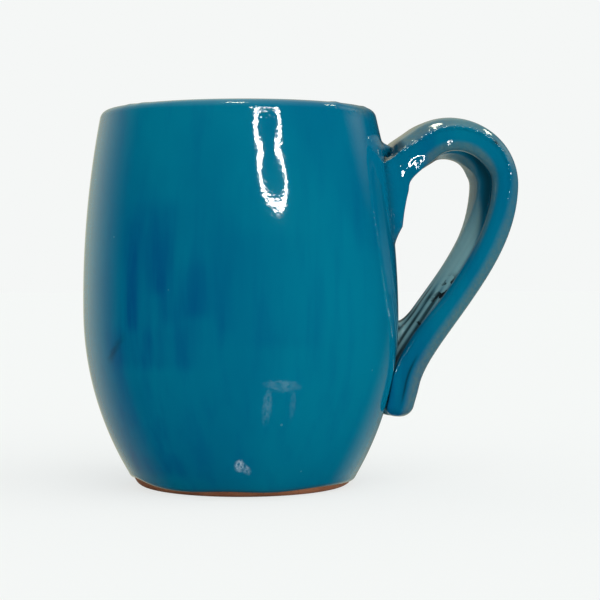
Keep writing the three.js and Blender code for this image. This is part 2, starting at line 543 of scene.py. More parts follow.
@dataclass(frozen=True)
class FiredClay:
    """Bare fired clay, matt, with grit in it."""

    name: str
    main: Color
    pale: Color
    grit: Color
    clouds: Clouds = Clouds(90.0, 5.0)
    tooth: Clouds = Clouds(1600.0, 6.0)
    grains_to_metre: float = 900.0
    cloudy: Span = Span(0.35, 0.65)
    gritty: Span = Span(0.12, 0.28, 0.7, 0.0)
    roughness: Span = Span(0.3, 0.7, 0.72, 0.92)
    rise: float = 0.04 * MM

    def material(self) -> bpy.types.Material:
        """Builds the node material.

        Returns:
            The material.
        """
        recipe = Recipe(self.name)
        clouds = recipe.span(recipe.noise(self.clouds), self.cloudy)
        color = recipe.blend(clouds, self.main, self.pale)
        grains = recipe.span(recipe.dots(self.grains_to_metre), self.gritty)
        color = recipe.blend(grains, color, self.grit)
        tooth = recipe.noise(self.tooth)
        return recipe.finish(color, recipe.span(tooth, self.roughness), recipe.bump(tooth, self.rise))


RED_CLAY = FiredClay(
    "red_clay",
    main=(0.30, 0.095, 0.036, 1.0),
    pale=(0.40, 0.15, 0.065, 1.0),
    grit=(0.12, 0.05, 0.03, 1.0),
)
SLIP = FiredClay(
    "slip",
    main=(0.24, 0.085, 0.035, 1.0),
    pale=(0.30, 0.12, 0.055, 1.0),
    grit=(0.16, 0.07, 0.04, 1.0),
)


# Bowl


@dataclass(frozen=True)
class BowlSizes:
    """Sizes of the bowl's clay and of the coats on it."""

    height: float
    belly_radius: float
    belly_height: float = 49.0 * MM
    lip_radius: float = 39.8 * MM
    lip_wall: float = 4.2 * MM
    belly_wall: float = 5.2 * MM
    foot_radius: float = 29.0 * MM
    foot_edge: float = 2.6 * MM
    floor: float = 6.5 * MM
    floor_radius: float = 21.0 * MM
    floor_corner: float = 11.0 * MM
    glaze: float = 0.5 * MM
    bond: float = 0.1 * MM

    @classmethod
    def from_frame(cls) -> "BowlSizes":
        """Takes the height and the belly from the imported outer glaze."""
        _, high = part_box("outer_glaze")
        return cls(height=high.z, belly_radius=high.y)

    @property
    def coat(self) -> float:
        """From the clay to the face of its glaze."""
        return self.bond + self.glaze


@dataclass(frozen=True)
class Arc:
    """A round stretch of the clay's section, which faces away from its centre or, if hollow, towards it."""

    centre: Pair
    radius: float
    start: float
    stop: float
    hollow: bool = False

    def sample(self, spacing: float) -> tuple[np.ndarray, np.ndarray]:
        """Points of the arc.

        Args:
            spacing: the most that they lie apart.

        Returns:
            The points and the directions that they face.
        """
        count = math.ceil(self.radius * abs(self.stop - self.start) / spacing) + 2
        angle = np.linspace(self.start, self.stop, count)
        out = np.stack([np.cos(angle), np.sin(angle)], axis=1)
        return np.array(self.centre) + self.radius * out, -out if self.hollow else out


class ClayLine:
    """The clay's section, from the middle of the underside, round the lip, to the middle of the floor."""

    SPACING = 0.2 * MM

    def __init__(self, sizes: BowlSizes) -> None:
        """Lays the stretches of the section end to end.

        Args:
            sizes: sizes of the bowl.
        """
        lip_round = sizes.lip_wall / 2
        belly = sizes.belly_radius - sizes.coat
        inside = belly - sizes.belly_wall
        lip = (sizes.lip_radius - sizes.coat - lip_round, sizes.height - sizes.coat - lip_round)
        foot = (sizes.foot_radius, sizes.foot_edge)
        corner = (sizes.floor_radius, sizes.floor + sizes.floor_corner)
        self.belly_height = sizes.belly_height
        low_out, low_radius, low_end = self.wall_arc(belly, foot, sizes.foot_edge)
        high_out, high_radius, high_end = self.wall_arc(belly, lip, lip_round)
        high_in, high_in_radius, high_in_end = self.wall_arc(inside, lip, -lip_round)
        low_in, low_in_radius, low_in_end = self.wall_arc(inside, corner, sizes.floor_corner)
        self.tail_centre = low_out
        self.tail_radius = low_radius
        stretches = [
            self.flat((0.0, 0.0), (sizes.foot_radius, 0.0), (0.0, -1.0)),
            Arc(foot, sizes.foot_edge, -QUARTER, low_end).sample(self.SPACING),
            Arc(low_out, low_radius, low_end, 0.0).sample(self.SPACING),
            Arc(high_out, high_radius, 0.0, high_end).sample(self.SPACING),
            Arc(lip, lip_round, high_end, math.pi + high_in_end).sample(self.SPACING),
            Arc(high_in, high_in_radius, high_in_end, 0.0, hollow=True).sample(self.SPACING),
            Arc(low_in, low_in_radius, 0.0, low_in_end, hollow=True).sample(self.SPACING),
            Arc(corner, sizes.floor_corner, low_in_end, -QUARTER, hollow=True).sample(self.SPACING),
            self.flat((sizes.floor_radius, sizes.floor), (0.0, sizes.floor), (0.0, 1.0)),
        ]
        self.place = np.concatenate([points[:-1] for points, _ in stretches] + [stretches[-1][0][-1:]])
        self.facing = np.concatenate([out[:-1] for _, out in stretches] + [stretches[-1][1][-1:]])
        steps = np.linalg.norm(np.diff(self.place, axis=0), axis=1)
        self.run = np.concatenate([[0.0], np.cumsum(steps)])
        self.length = self.run[-1]
        self.foot_run = sizes.foot_radius
        top = int(self.place[:, 1].argmax())
        self.crown = self.run[top]
        self.outside = slice(int(np.searchsorted(self.run, self.foot_run)), top + 1)

    def wall_arc(self, belly: float, small: Pair, small_radius: float) -> tuple[Pair, float, float]:
        """An arc that leaves the belly upright and runs tangent to a small round.

        Args:
            belly: radius of the wall's face at the belly.
            small: centre of the small round.
            small_radius: its radius, negative where it lies outside the arc.

        Returns:
            The arc's centre, its radius and the angle where it meets the round.
        """
        across = belly - small[0]
        along = small[1] - self.belly_height
        radius = (across**2 + along**2 - small_radius**2) / (2 * (across - small_radius))
        centre = (belly - radius, self.belly_height)
        return centre, radius, math.atan2(along, small[0] - centre[0])

    def flat(self, start: Pair, stop: Pair, out: Pair) -> tuple[np.ndarray, np.ndarray]:
        """A straight stretch of the section, as points and the direction that they face."""
        count = math.ceil(math.dist(start, stop) / self.SPACING) + 2
        return np.linspace(start, stop, count), np.tile(out, (count, 1))

    def at(self, run: np.ndarray, off: np.ndarray | float) -> tuple[np.ndarray, np.ndarray]:
        """Places along the section.

        Args:
            run: how far along it they lie.
            off: how far off the clay they lie.

        Returns:
            Their radius and height.
        """
        out, up = (np.interp(run, self.run, self.facing[:, i]) for i in (0, 1))
        radius, height = (np.interp(run, self.run, self.place[:, i]) for i in (0, 1))
        return radius + off * out, height + off * up

    def run_at(self, height: np.ndarray) -> np.ndarray:
        """Run of the section where the outside of the clay has a height."""
        return np.interp(height, self.place[self.outside, 1], self.run[self.outside])

    def outside_at(self, height: np.ndarray, off: float) -> np.ndarray:
        """Radius of the outside at a height, at a distance off the clay."""
        face = self.place[self.outside] + off * self.facing[self.outside]
        return np.interp(height, face[:, 1], face[:, 0])

    def clearance(self, points: np.ndarray, off: float) -> tuple[np.ndarray, np.ndarray]:
        """How far points stand off the bowl's outside, and which way it faces there.

        Args:
            points: points by coordinate.
            off: distance off the clay at which the clearance is 0.

        Returns:
            The clearance, negative inside the wall, and the outward directions.
        """
        radius = np.hypot(points[..., 0], points[..., 1])
        face = self.place[self.outside] + off * self.facing[self.outside]
        out = np.interp(points[..., 2], face[:, 1], self.facing[self.outside, 0])
        up = np.interp(points[..., 2], face[:, 1], self.facing[self.outside, 1])
        wall = np.interp(points[..., 2], face[:, 1], face[:, 0])
        outward = np.stack([out * points[..., 0] / radius, out * points[..., 1] / radius, up], axis=-1)
        return (radius - wall) * out, outward


@dataclass(frozen=True)
class Throwing:
    """How a hand-thrown shape departs from a true round. Fades are by share of the height or by radius."""

    height: float
    lean: float = 0.01446
    oval: float = 0.12 * MM
    oval_turn: float = 0.7
    oval_fade: Stretch = Stretch(0.0, 0.5)
    ring_outside: float = 0.002 * MM
    ring_inside: float = 0.06 * MM
    ring_pitch: float = 7.0 * MM
    ring_swing: float = 0.6
    ring_swings: float = 3.1
    ring_fade: Stretch = Stretch(0.05, 0.2)
    middle_fade: Stretch = Stretch(12.0 * MM, 26.0 * MM)
    rim_tilt: float = 0.3 * MM
    tilt_radius: float = 40.0 * MM

    def lean_over(self, points: np.ndarray) -> np.ndarray:
        """Leans points away from the handle by their height.

        Args:
            points: points by coordinate.

        Returns:
            The moved points.
        """
        moved = points.copy()
        moved[..., 0] -= self.lean * points[..., 2]
        return moved

    def settle(self, points: np.ndarray, inside: np.ndarray) -> np.ndarray:
        """Gives points of the bowl their finger rings, slightly oval round, tilted rim and lean.

        Args:
            points: points by coordinate.
            inside: how far each of them counts as inside the bowl, where the rings are deeper.

        Returns:
            The moved points.
        """
        x, y, z = points[..., 0], points[..., 1], points[..., 2]
        radius = np.hypot(x, y)
        angle = np.arctan2(y, x)
        share = z / self.height
        swing = 1.0 + self.ring_swing * np.sin(self.ring_swings * share * math.pi + 2.0 * angle)
        depth = self.ring_outside + (self.ring_inside - self.ring_outside) * inside
        rings = depth * swing * np.sin(2 * math.pi * z / self.ring_pitch + angle)
        oval = self.oval * np.cos(2 * angle + self.oval_turn)
        out = rings * self.ring_fade.share(share) + oval * self.oval_fade.share(share)
        grown = 1.0 + out * self.middle_fade.share(radius) / np.maximum(radius, MM)
        moved = points.copy()
        moved[..., 0] *= grown
        moved[..., 1] *= grown
        moved[..., 2] += self.rim_tilt * share**3 * x / self.tilt_radius
        return self.lean_over(moved)


@dataclass(frozen=True)
class Drip:
    """A run of thicker glaze down the wall, at an angle round the bowl in degrees."""

    angle: float
    top: float
    bottom: float
    half_width: float
    depth: float
    drift: float = 0.0
    top_fade: float = 2.5 * MM
    bottom_fade: float = 2.0 * MM
    top_depth: float = 0.45
    squareness: int = 4

    def share(self, angle: np.ndarray, radius: np.ndarray, height: np.ndarray) -> np.ndarray:
        """How thick the drip lies at places on the wall.

        Args:
            angle: angles of the places round the bowl.
            radius: their radius.
            height: their height.

        Returns:
            The drip's share of the glaze there.
        """
        down = np.clip((self.top - height) / (self.top - self.bottom), 0.0, 1.0)
        aside = radius * turned_from(angle, math.radians(self.angle)) - self.drift * down
        start = ease(height, self.top + self.top_fade, self.top - self.top_fade)
        end = ease(height, self.bottom - self.bottom_fade, self.bottom + self.bottom_fade)
        thicker = self.top_depth + (1.0 - self.top_depth) * down
        across = np.exp(-((aside / self.half_width) ** self.squareness))
        return self.depth * thicker * across * start * end


DRIPS = (
    Drip(-136.0, 76 * MM, 46 * MM, 2.8 * MM, 0.5),
    Drip(-125.8, 77 * MM, 56 * MM, 2.2 * MM, 0.35),
    Drip(-121.3, 73 * MM, 48 * MM, 1.6 * MM, 0.3),
    Drip(-111.3, 64 * MM, 50 * MM, 4.2 * MM, 0.35),
    Drip(-100.5, 76 * MM, 46 * MM, 2.6 * MM, 0.2),
    Drip(-128.0, 80 * MM, 36 * MM, 15.0 * MM, 0.42),
    Drip(-136.0, 46 * MM, 6 * MM, 15.0 * MM, 0.36),
    Drip(-88.0, 72 * MM, 42 * MM, 15.0 * MM, 0.18),
    Drip(15.0, 80 * MM, 40 * MM, 6.0 * MM, 0.35),
    Drip(60.0, 92 * MM, 30 * MM, 7.0 * MM, 0.45),
    Drip(118.0, 84 * MM, 36 * MM, 5.0 * MM, 0.5),
    Drip(165.0, 78 * MM, 26 * MM, 8.0 * MM, 0.4),
)
TEAR = Drip(-141.6, 44 * MM, 38 * MM, 1.3 * MM, 0.6, drift=-6.0 * MM)


@dataclass
class CoatNet:
    """Where each point of the outer coat's face lies."""

    angle: np.ndarray
    radius: np.ndarray
    height: np.ndarray
    over_smear: np.ndarray
    past_edge: np.ndarray
    past_crown: np.ndarray
    outside: np.ndarray


@dataclass(frozen=True)
class CoatLook:
    """Where the outer coat pools or has shade painted under the handle's root lump, wears thin, loses gloss
    and puckers. Angles are in degrees.
    """

    root_pool_and_shade: float = 0.5
    root_pool_over_smear: Spot = Spot(-3.5 * MM, 2.0 * MM)
    root_pool_reach: float = 9.0 * MM
    edge_pool: float = 0.75
    edge_frost: float = 0.1
    edge_reach: float = 1.0 * MM
    crown_thin: float = 0.16
    crown_reach: float = 0.9 * MM
    worn: float = 0.4
    worn_angle: float = -35.0
    worn_reach: float = 4.0 * MM
    worn_past_crown: Spot = Spot(-2.0 * MM, 1.6 * MM)
    root_pucker_over_smear: Spot = Spot(-6.0 * MM, 9.0 * MM)
    root_pucker_reach: float = 14.0 * MM
    rim_pucker: float = 0.7
    rim_pucker_past_crown: Spot = Spot(-2.6 * MM, 1.2 * MM)
    rim_pucker_angles_and_reaches: tuple[Pair, ...] = (
        (-97.4, 4.0 * MM),
        (-57.0, 3.0 * MM),
        (-43.0, 2.5 * MM),
    )

    def marks(self, net: CoatNet) -> dict[Mark, np.ndarray]:
        """What the points of the coat's face say to the glaze.

        Args:
            net: where the points lie.

        Returns:
            The strength of each mark, by point.
        """
        around = net.radius * net.angle
        streak = sum(drip.share(net.angle, net.radius, net.height) for drip in DRIPS)
        fade = hump(net.past_edge, 0.0, self.edge_reach)
        # Pooled glaze and painted shade just under the lump where the handle's root meets the wall.
        root_pool_and_shade = self.root_pool_and_shade * self.root_pool_over_smear.share(net.over_smear)
        pool_and_shade = root_pool_and_shade * hump(around, 0.0, self.root_pool_reach)
        pool_and_shade = pool_and_shade + TEAR.share(net.angle, net.radius, net.height) + self.edge_pool * fade
        worn = net.radius * turned_from(net.angle, math.radians(self.worn_angle))
        worn = self.worn * hump(worn, 0.0, self.worn_reach) * self.worn_past_crown.share(net.past_crown)
        by_root = hump(around, 0.0, self.root_pucker_reach)
        pucker = self.root_pucker_over_smear.share(net.over_smear) * by_root
        on_rim = self.rim_pucker * self.rim_pucker_past_crown.share(net.past_crown)
        for place, reach in self.rim_pucker_angles_and_reaches:
            aside = net.radius * turned_from(net.angle, math.radians(place))
            pucker = pucker + on_rim * hump(aside, 0.0, reach)
        return {
            Mark.STREAK: np.clip(streak * net.outside, 0.0, 1.0),
            Mark.POOL_AND_SHADE: pool_and_shade * net.outside,
            Mark.THIN: self.crown_thin * hump(net.past_crown, 0.0, self.crown_reach) + worn,
            Mark.FROST: self.edge_frost * fade,
            Mark.PUCKER: pucker * net.outside,
        }


@dataclass
class Bowl:
    """The thrown bowl: its clay, the liner poured into it and the coat that it was dipped in."""

    sizes: BowlSizes
    line: ClayLine
    throwing: Throwing
    glaze: bpy.types.Material
    clay: bpy.types.Material
    look: CoatLook = CoatLook()
    columns: int = 288
    column_crowding: float = 0.6
    clay_rows: int = 200
    liner_rows: int = 120
    coat_rows: int = 190
    back_step: int = 4
    # Reach and weight of the places where rows lie closer together
    foot_crowd: Pair = (4.0 * MM, 5.0)
    lip_crowd: Pair = (4.0 * MM, 3.0)
    coat_edge_crowd: Pair = (3.0 * MM, 5.0)
    coat_lip_crowd: Pair = (4.0 * MM, 4.0)
    smear_crowd: Pair = (5.0 * MM, 2.0)
    # Clay
    middle_hole: float = 0.3 * MM
    rings_past_crown: Stretch = Stretch(6.0 * MM, 18.0 * MM)
    wire_centre: Pair = (-70.0 * MM, 25.0 * MM)
    wire_depth: float = 0.05 * MM
    wire_pitch: float = 2.3 * MM
    wire_waver: float = 4.0 * MM
    wire_past_foot: Stretch = Stretch(0.0, -4.0 * MM)
    # Liner
    liner_past_crown: Stretch = Stretch(-0.3 * MM, 1.5 * MM)
    corner_pool: float = 0.5
    corner_reach: float = 8.0 * MM
    # Outer coat
    glaze_line: float = 1.5 * MM
    glaze_waver: float = 0.25 * MM
    glaze_seed: int = 3
    glaze_waves: int = 9
    high_line: float = 1.8 * MM
    high_line_angle: float = -166.0
    high_line_reach: float = 15.0
    line_fade: float = 9.0 * MM
    overlap: float = 5.0 * MM
    overlap_waver: float = 0.7 * MM
    overlap_seed: int = 8
    overlap_waves: int = 12
    overlap_fade: float = 3.0 * MM
    overlap_share: float = 0.55
    overlap_past_crown: Stretch = Stretch(0.0, 2.5 * MM)
    outside_past_crown: Stretch = Stretch(0.0, -2.0 * MM)
    edge_roll: float = 1.6 * MM
    edge_bead: float = 0.06 * MM
    edge_bead_past_edge: Spot = Spot(0.8 * MM, 1.0 * MM)
    # Clay pushed up at the handle's root
    smear_height: float = 96.3 * MM
    smear_rise: float = 3.3 * MM
    smear_width: float = 5.6 * MM
    smear_above: float = 2.0 * MM
    smear_below: float = 2.6 * MM
    smear_squareness: float = 2.4
    smear_side_squareness: float = 2.6
    skirt: float = 0.5 * MM
    skirt_height: Spot = Spot(92.0 * MM, 9.0 * MM)
    skirt_reach: float = 15.0 * MM
    # Beads on the lip
    bead_seed: int = 21
    bead_angle: float = -51.0
    more_beads: int = 9
    bead_rises: Pair = (0.1 * MM, 0.3 * MM)
    bead_reach: float = 1.5 * MM
    bead_past_crown: Spot = Spot(-0.5 * MM, 1.2 * MM)

    def angles(self) -> np.ndarray:
        """Columns of the bowl's nets, closer together towards the handle."""
        share = np.arange(self.columns) / self.columns
        return 2 * math.pi * share - self.column_crowding * np.sin(2 * math.pi * share)

    def turned(self, run: np.ndarray, off: np.ndarray | float) -> np.ndarray:
        """Points round the bowl.

        Args:
            run: how far along the clay's section they lie.
            off: how far off the clay they lie.

        Returns:
            The points, by row and column.
        """
        angle = self.angles()
        radius, height = self.line.at(run, off)
        flat = np.broadcast_arrays(radius * np.cos(angle), radius * np.sin(angle), height)
        inside = self.rings_past_crown.share(run - self.line.crown)
        return self.throwing.settle(np.stack(flat, axis=-1), inside)

    def floor_middle(self, off: float) -> tuple[float, float, float]:
        """The middle of the floor, at a distance off the clay."""
        return (-self.throwing.lean * self.sizes.floor, 0.0, self.sizes.floor + off)

    def liner_thickness(self, run: np.ndarray) -> np.ndarray:
        """Thickness of the liner, which starts from nothing just outside the crown of the lip."""
        return self.sizes.glaze * self.liner_past_crown.share(run - self.line.crown)

    def make_clay(self) -> bpy.types.Object:
        """The clay body, with the wire's cutting marks on its underside.

        Returns:
            The piece.
        """
        line = self.line
        crowds = [(line.foot_run, *self.foot_crowd), (line.crown, *self.lip_crowd)]
        run = crowded(self.middle_hole, line.length - self.middle_hole, self.clay_rows, crowds)[:, None]
        points = self.turned(run, 0.0)
        wire = np.hypot(points[..., 0] - self.wire_centre[0], points[..., 1] - self.wire_centre[1])
        waver = np.sin(wire / self.wire_waver)
        cuts = self.wire_depth * (1.0 + np.sin(2 * math.pi * wire / self.wire_pitch + waver))
        points[..., 2] += cuts * self.wire_past_foot.share(run - line.foot_run)
        ends = np.array([(0.0, 0.0, self.wire_depth), self.floor_middle(0.0)])
        piece = closed_mesh("bowl_clay", points, ends)
        fit_piece(piece, self.clay, Slot.CLAY, "clay_body")
        return piece

    def make_liner(self) -> bpy.types.Object:
        """The glaze that lines the bowl.

        Returns:
            The piece.
        """
        line = self.line
        start = line.crown + self.liner_past_crown.start
        stop = line.length - self.middle_hole
        run = crowded(start, stop, self.liner_rows, [(line.crown, *self.lip_crowd)])[:, None]
        face = self.turned(run, self.sizes.bond + self.liner_thickness(run))
        back = self.turned(run, self.sizes.bond / 2)[:: self.back_step]
        ends = np.array([self.floor_middle(self.sizes.coat), self.floor_middle(self.sizes.bond / 2)])
        piece = closed_mesh("liner_glaze_coat", np.concatenate([face[::-1], back]), ends)
        corner = line.length - self.sizes.floor_radius - self.corner_reach
        pool_and_shade = self.corner_pool * hump(run[::-1], corner, self.corner_reach)
        mark(piece, Mark.POOL_AND_SHADE, np.broadcast_to(pool_and_shade, face.shape[:2]))
        fit_piece(piece, self.glaze, Slot.GLAZE, "liner_glaze")
        return piece

    def coat_edges(self) -> tuple[np.ndarray, np.ndarray]:
        """The two edges of the outer coat.

        Returns:
            Runs of the section where it begins near the foot and where it ends inside the lip, by column.
        """
        angle = self.angles()
        turn = np.degrees(turned_from(angle, math.radians(self.high_line_angle)))
        height = self.glaze_line + self.glaze_waver * uneven(angle, self.glaze_seed, self.glaze_waves)
        height = height + self.high_line * hump(turn, 0.0, self.high_line_reach)
        waver = self.overlap_waver * uneven(angle, self.overlap_seed, self.overlap_waves)
        return self.line.run_at(height), self.line.crown + self.overlap + waver

    def smear(self, angle: np.ndarray, radius: np.ndarray, height: np.ndarray) -> np.ndarray:
        """The clay that was pushed up on the wall round the handle's upper root.

        Args:
            angle: angles of places round the bowl.
            radius: their radius.
            height: their height.

        Returns:
            How far the clay rises there.
        """
        aside = radius * turned_from(angle, 0.0)
        tall = np.where(height > self.smear_height, self.smear_above, self.smear_below)
        lump = np.exp(-(np.abs((height - self.smear_height) / tall) ** self.smear_squareness))
        across = np.exp(-(np.abs(aside / self.smear_width) ** self.smear_side_squareness))
        skirt = self.skirt * self.skirt_height.share(height) * hump(aside, 0.0, self.skirt_reach)
        return self.smear_rise * lump * across + skirt

    def lip_beads(self, past_crown: np.ndarray) -> np.ndarray:
        """Small beads of glaze that dried on the crown of the lip.

        Args:
            past_crown: how far places lie past the crown, by row and column.

        Returns:
            How far the beads rise there.
        """
        angle = self.angles()
        chance = np.random.default_rng(self.bead_seed)
        others = chance.uniform(-math.pi, math.pi, self.more_beads)
        places = np.concatenate([[math.radians(self.bead_angle)], others])
        rise = np.zeros_like(past_crown)
        for place, size in zip(places, chance.uniform(*self.bead_rises, len(places))):
            aside = self.sizes.lip_radius * turned_from(angle, place)
            rise += size * hump(aside, 0.0, self.bead_reach) * self.bead_past_crown.share(past_crown)
        return rise

    def make_outer(self) -> bpy.types.Object:
        """The outer coat, from its rolled edge near the foot to where it laps over the liner.

        Returns:
            The piece.
        """
        line = self.line
        angle = self.angles()
        edge, inside = self.coat_edges()
        first, last = edge.mean(), inside.mean()
        smear_run = float(line.run_at(np.array(self.smear_height)))
        at_edge, at_lip = (first, *self.coat_edge_crowd), (line.crown, *self.coat_lip_crowd)
        crowds = [at_edge, at_lip, (smear_run, *self.smear_crowd)]
        base = crowded(first, last, self.coat_rows, crowds)[:, None]
        low = (edge - first) * ease(base, first + self.line_fade, first)
        high = (inside - last) * ease(base, last - self.overlap_fade, last)
        run = base + low + high
        radius, height = line.at(run, 0.0)
        past_edge = run - edge
        past_crown = run - line.crown
        roll = quarter_round(past_edge / self.edge_roll) * quarter_round((inside - run) / self.edge_roll)
        lap = 1.0 - self.overlap_share * self.overlap_past_crown.share(past_crown)
        bead = self.edge_bead * self.edge_bead_past_edge.share(past_edge)
        under = self.sizes.bond + self.liner_thickness(run)
        outside = self.outside_past_crown.share(past_crown)
        rise = self.smear(angle, radius, height) * outside + self.lip_beads(past_crown)
        face = self.turned(run, under + (self.sizes.glaze * lap + bead) * roll + rise)
        back = self.turned(run, under - self.sizes.bond / 2)[:: -self.back_step]
        piece = closed_mesh("outer_glaze_coat", np.concatenate([face, back]))
        net = CoatNet(angle, radius, height, height - self.smear_height, past_edge, past_crown, outside)
        for kind, shares in self.look.marks(net).items():
            mark(piece, kind, shares)
        fit_piece(piece, self.glaze, Slot.GLAZE, "outer_glaze")
        return piece


# Handle


@dataclass(frozen=True)
class Bulge:
    """A soft swelling on the strap's sides, by place along the strap and by how far that faces outwards."""

    run: Spot
    facing: Spot
    rise: float


@dataclass(frozen=True)
class HandleSizes:
    """Sizes of the pulled strap and of the line that it follows. Runs along it start at the wall."""

    reach: float
    # Strap
    strap_width: float = 20.0 * MM
    strap_thickness: float = 8.3 * MM
    slim: float = 0.38 * MM
    slim_run: Stretch = Stretch(52.0 * MM, 80.0 * MM)
    rib: float = 2.6 * MM
    rib_run: Stretch = Stretch(0.0, 36.0 * MM)
    rib_half_width: float = 6.2 * MM
    rib_flank: float = 1.2 * MM
    soft_rib_half_width: float = 4.4 * MM
    soft_rib_flank: float = 3.6 * MM
    soft_rib_runs: tuple[Stretch, Stretch] = (Stretch(48.0 * MM, 68.0 * MM), Stretch(42.0 * MM, 28.0 * MM))
    bulges: tuple[Bulge, ...] = (
        Bulge(Spot(8.0 * MM, 2.8 * MM), Spot(-0.98, 0.32), 0.85 * MM),
        Bulge(Spot(20.2 * MM, 1.3 * MM), Spot(-0.78, 0.16), 0.4 * MM),
    )
    crest: float = -0.4 * MM
    crest_rise: float = 2.3 * MM
    crest_run: Stretch = Stretch(62.0 * MM, 36.0 * MM)
    crest_softness: float = 0.9
    chamfer: float = 0.55
    corner_squareness: float = 8.0
    squareness: float = 3.2
    root_squareness: float = 12.0
    root_square_run: Stretch = Stretch(44.0 * MM, 26.0 * MM)
    tail_squareness: float = 7.0
    tail_square_run: Stretch = Stretch(84.0 * MM, 104.0 * MM)
    shoulder: float = 1.0 * MM
    shoulder_run: Spot = Spot(15.0 * MM, 10.0 * MM)
    dent: float = 2.4 * MM
    dent_run: Spot = Spot(3.6 * MM, 2.2 * MM)
    groove: float = 0.8 * MM
    groove_side: Spot = Spot(7.3 * MM, 0.9 * MM)
    groove_run: Stretch = Stretch(8.0 * MM, 30.0 * MM)
    ridge: float = 0.15 * MM
    ridge_pitch: float = 3.4 * MM
    ridge_reach: float = 5.0 * MM
    ridge_run: Stretch = Stretch(66.0 * MM, 88.0 * MM)
    # Line
    root_drop: float = 18.0 * MM
    root_angle: float = 54.0
    root_ease: float = 5.0 * MM
    root_swell: float = 7.5 * MM
    root_widen: float = 3.0 * MM
    root_blend: float = 28.0 * MM
    root_lead: float = 18.0 * MM
    bow_radius: float = 14.3 * MM
    bow_drop: float = 21.1 * MM
    bow_start: float = 126.0
    bow_end: float = -2.0
    bow_ease: float = 24.0 * MM
    landing_height: float = 29.0 * MM
    landing_ease: float = 15.0 * MM
    tail_height: float = 20.0 * MM
    tail_press: float = 0.6 * MM
    tail_round: float = 2.6 * MM
    tail_cut: float = 0.22
    tail_cut_length: float = 8.0 * MM
    slip_bed: float = 0.6 * MM

    @classmethod
    def from_frame(cls, bowl: BowlSizes) -> "HandleSizes":
        """Takes the handle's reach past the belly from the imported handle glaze."""
        _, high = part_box("handle_glaze")
        return cls(reach=high.x - bowl.coat - bowl.belly_radius)


class StrapLine:
    """The strap's middle line in the handle's plane, x outwards and z up."""

    SPACING = 0.1 * MM
    BURIED_POINTS = 200
    ARC_POINTS = 400
    CURVE_POINTS = 600
    SOFT_STEPS = 12

    def __init__(self, sizes: HandleSizes, bowl: BowlSizes, clay: ClayLine) -> None:
        """Lays the line: out of the wall, round the bow, down the slant and on to the wall again.

        Args:
            sizes: sizes of the handle.
            bowl: sizes of the bowl.
            clay: section of the bowl.
        """
        rise = self.heading(math.radians(sizes.root_angle))
        root_height = bowl.height - sizes.root_drop
        root = np.array([float(clay.outside_at(np.array(root_height), 0.0)), root_height])
        self.buried = (sizes.strap_thickness + sizes.root_swell) * math.tan(math.radians(sizes.root_angle))
        bow_x = bowl.belly_radius + sizes.reach - sizes.strap_thickness / 2 - sizes.bow_radius
        bow = np.array([bow_x, bowl.height - sizes.bow_drop])
        start, end = math.radians(sizes.bow_start), math.radians(sizes.bow_end)
        around = self.arc(bow, sizes.bow_radius, start, end)
        tail_radius = clay.tail_radius + sizes.slip_bed + sizes.strap_thickness / 2 - sizes.tail_press
        landing = math.asin((sizes.landing_height - bowl.belly_height) / tail_radius)
        tail = math.asin((sizes.tail_height - bowl.belly_height) / tail_radius)
        along_wall = self.arc(np.array(clay.tail_centre), tail_radius, landing, tail)
        into_bow = self.heading(start - QUARTER)
        out_of_bow = self.heading(end - QUARTER)
        up_wall = self.heading(landing + QUARTER)
        first = self.bezier(
            root, root + sizes.root_ease * rise, around[0] - sizes.root_ease * into_bow, around[0]
        )
        slant = self.bezier(
            around[-1],
            around[-1] + sizes.bow_ease * out_of_bow,
            along_wall[0] + sizes.landing_ease * up_wall,
            along_wall[0],
        )
        buried = np.linspace(root - self.buried * rise, root, self.BURIED_POINTS)
        points = np.concatenate([buried[:-1], first[:-1], around[:-1], slant[:-1], along_wall])
        run = np.concatenate([[0.0], np.cumsum(np.linalg.norm(np.diff(points, axis=0), axis=1))])
        self.length = run[-1]
        self.run = np.arange(0.0, self.length, self.SPACING)
        self.points = np.stack([np.interp(self.run, run, points[:, i]) for i in (0, 1)], axis=1)
        self.tangents = self.softened(np.gradient(self.points, self.run, axis=0))

    @staticmethod
    def heading(angle: float) -> np.ndarray:
        """A direction in the handle's plane."""
        return np.array([math.cos(angle), math.sin(angle)])

    def arc(self, centre: np.ndarray, radius: float, start: float, stop: float) -> np.ndarray:
        """Points of an arc."""
        angle = np.linspace(start, stop, self.ARC_POINTS)
        return centre + radius * np.stack([np.cos(angle), np.sin(angle)], axis=1)

    def bezier(self, a: np.ndarray, b: np.ndarray, c: np.ndarray, d: np.ndarray) -> np.ndarray:
        """A cubic curve.

        Args:
            a: where it starts.
            b: the point that it leaves towards.
            c: the point that it arrives from.
            d: where it ends.

        Returns:
            Points of the curve.
        """
        t = np.linspace(0.0, 1.0, self.CURVE_POINTS)[:, None]
        s = 1.0 - t
        return s**3 * a + 3 * s * s * t * b + 3 * s * t * t * c + t**3 * d

    def softened(self, values: np.ndarray) -> np.ndarray:
        """Evens directions out over a short stretch of the line.

        Args:
            values: the directions.

        Returns:
            The evened directions.
        """
        reach = self.SOFT_STEPS
        padded = np.pad(values, ((reach, reach), (0, 0)), mode="edge")
        kernel = np.ones(2 * reach + 1) / (2 * reach + 1)
        return np.stack([np.convolve(padded[:, i], kernel, mode="valid") for i in (0, 1)], axis=1)

    def at(self, run: np.ndarray) -> tuple[np.ndarray, np.ndarray]:
        """Places along the line.

        Args:
            run: how far along it they lie.

        Returns:
            Its points there and its directions.
        """
        point = np.stack([np.interp(run, self.run, self.points[:, i]) for i in (0, 1)], axis=-1)
        tangent = np.stack([np.interp(run, self.run, self.tangents[:, i]) for i in (0, 1)], axis=-1)
        return point, tangent / np.linalg.norm(tangent, axis=-1, keepdims=True)


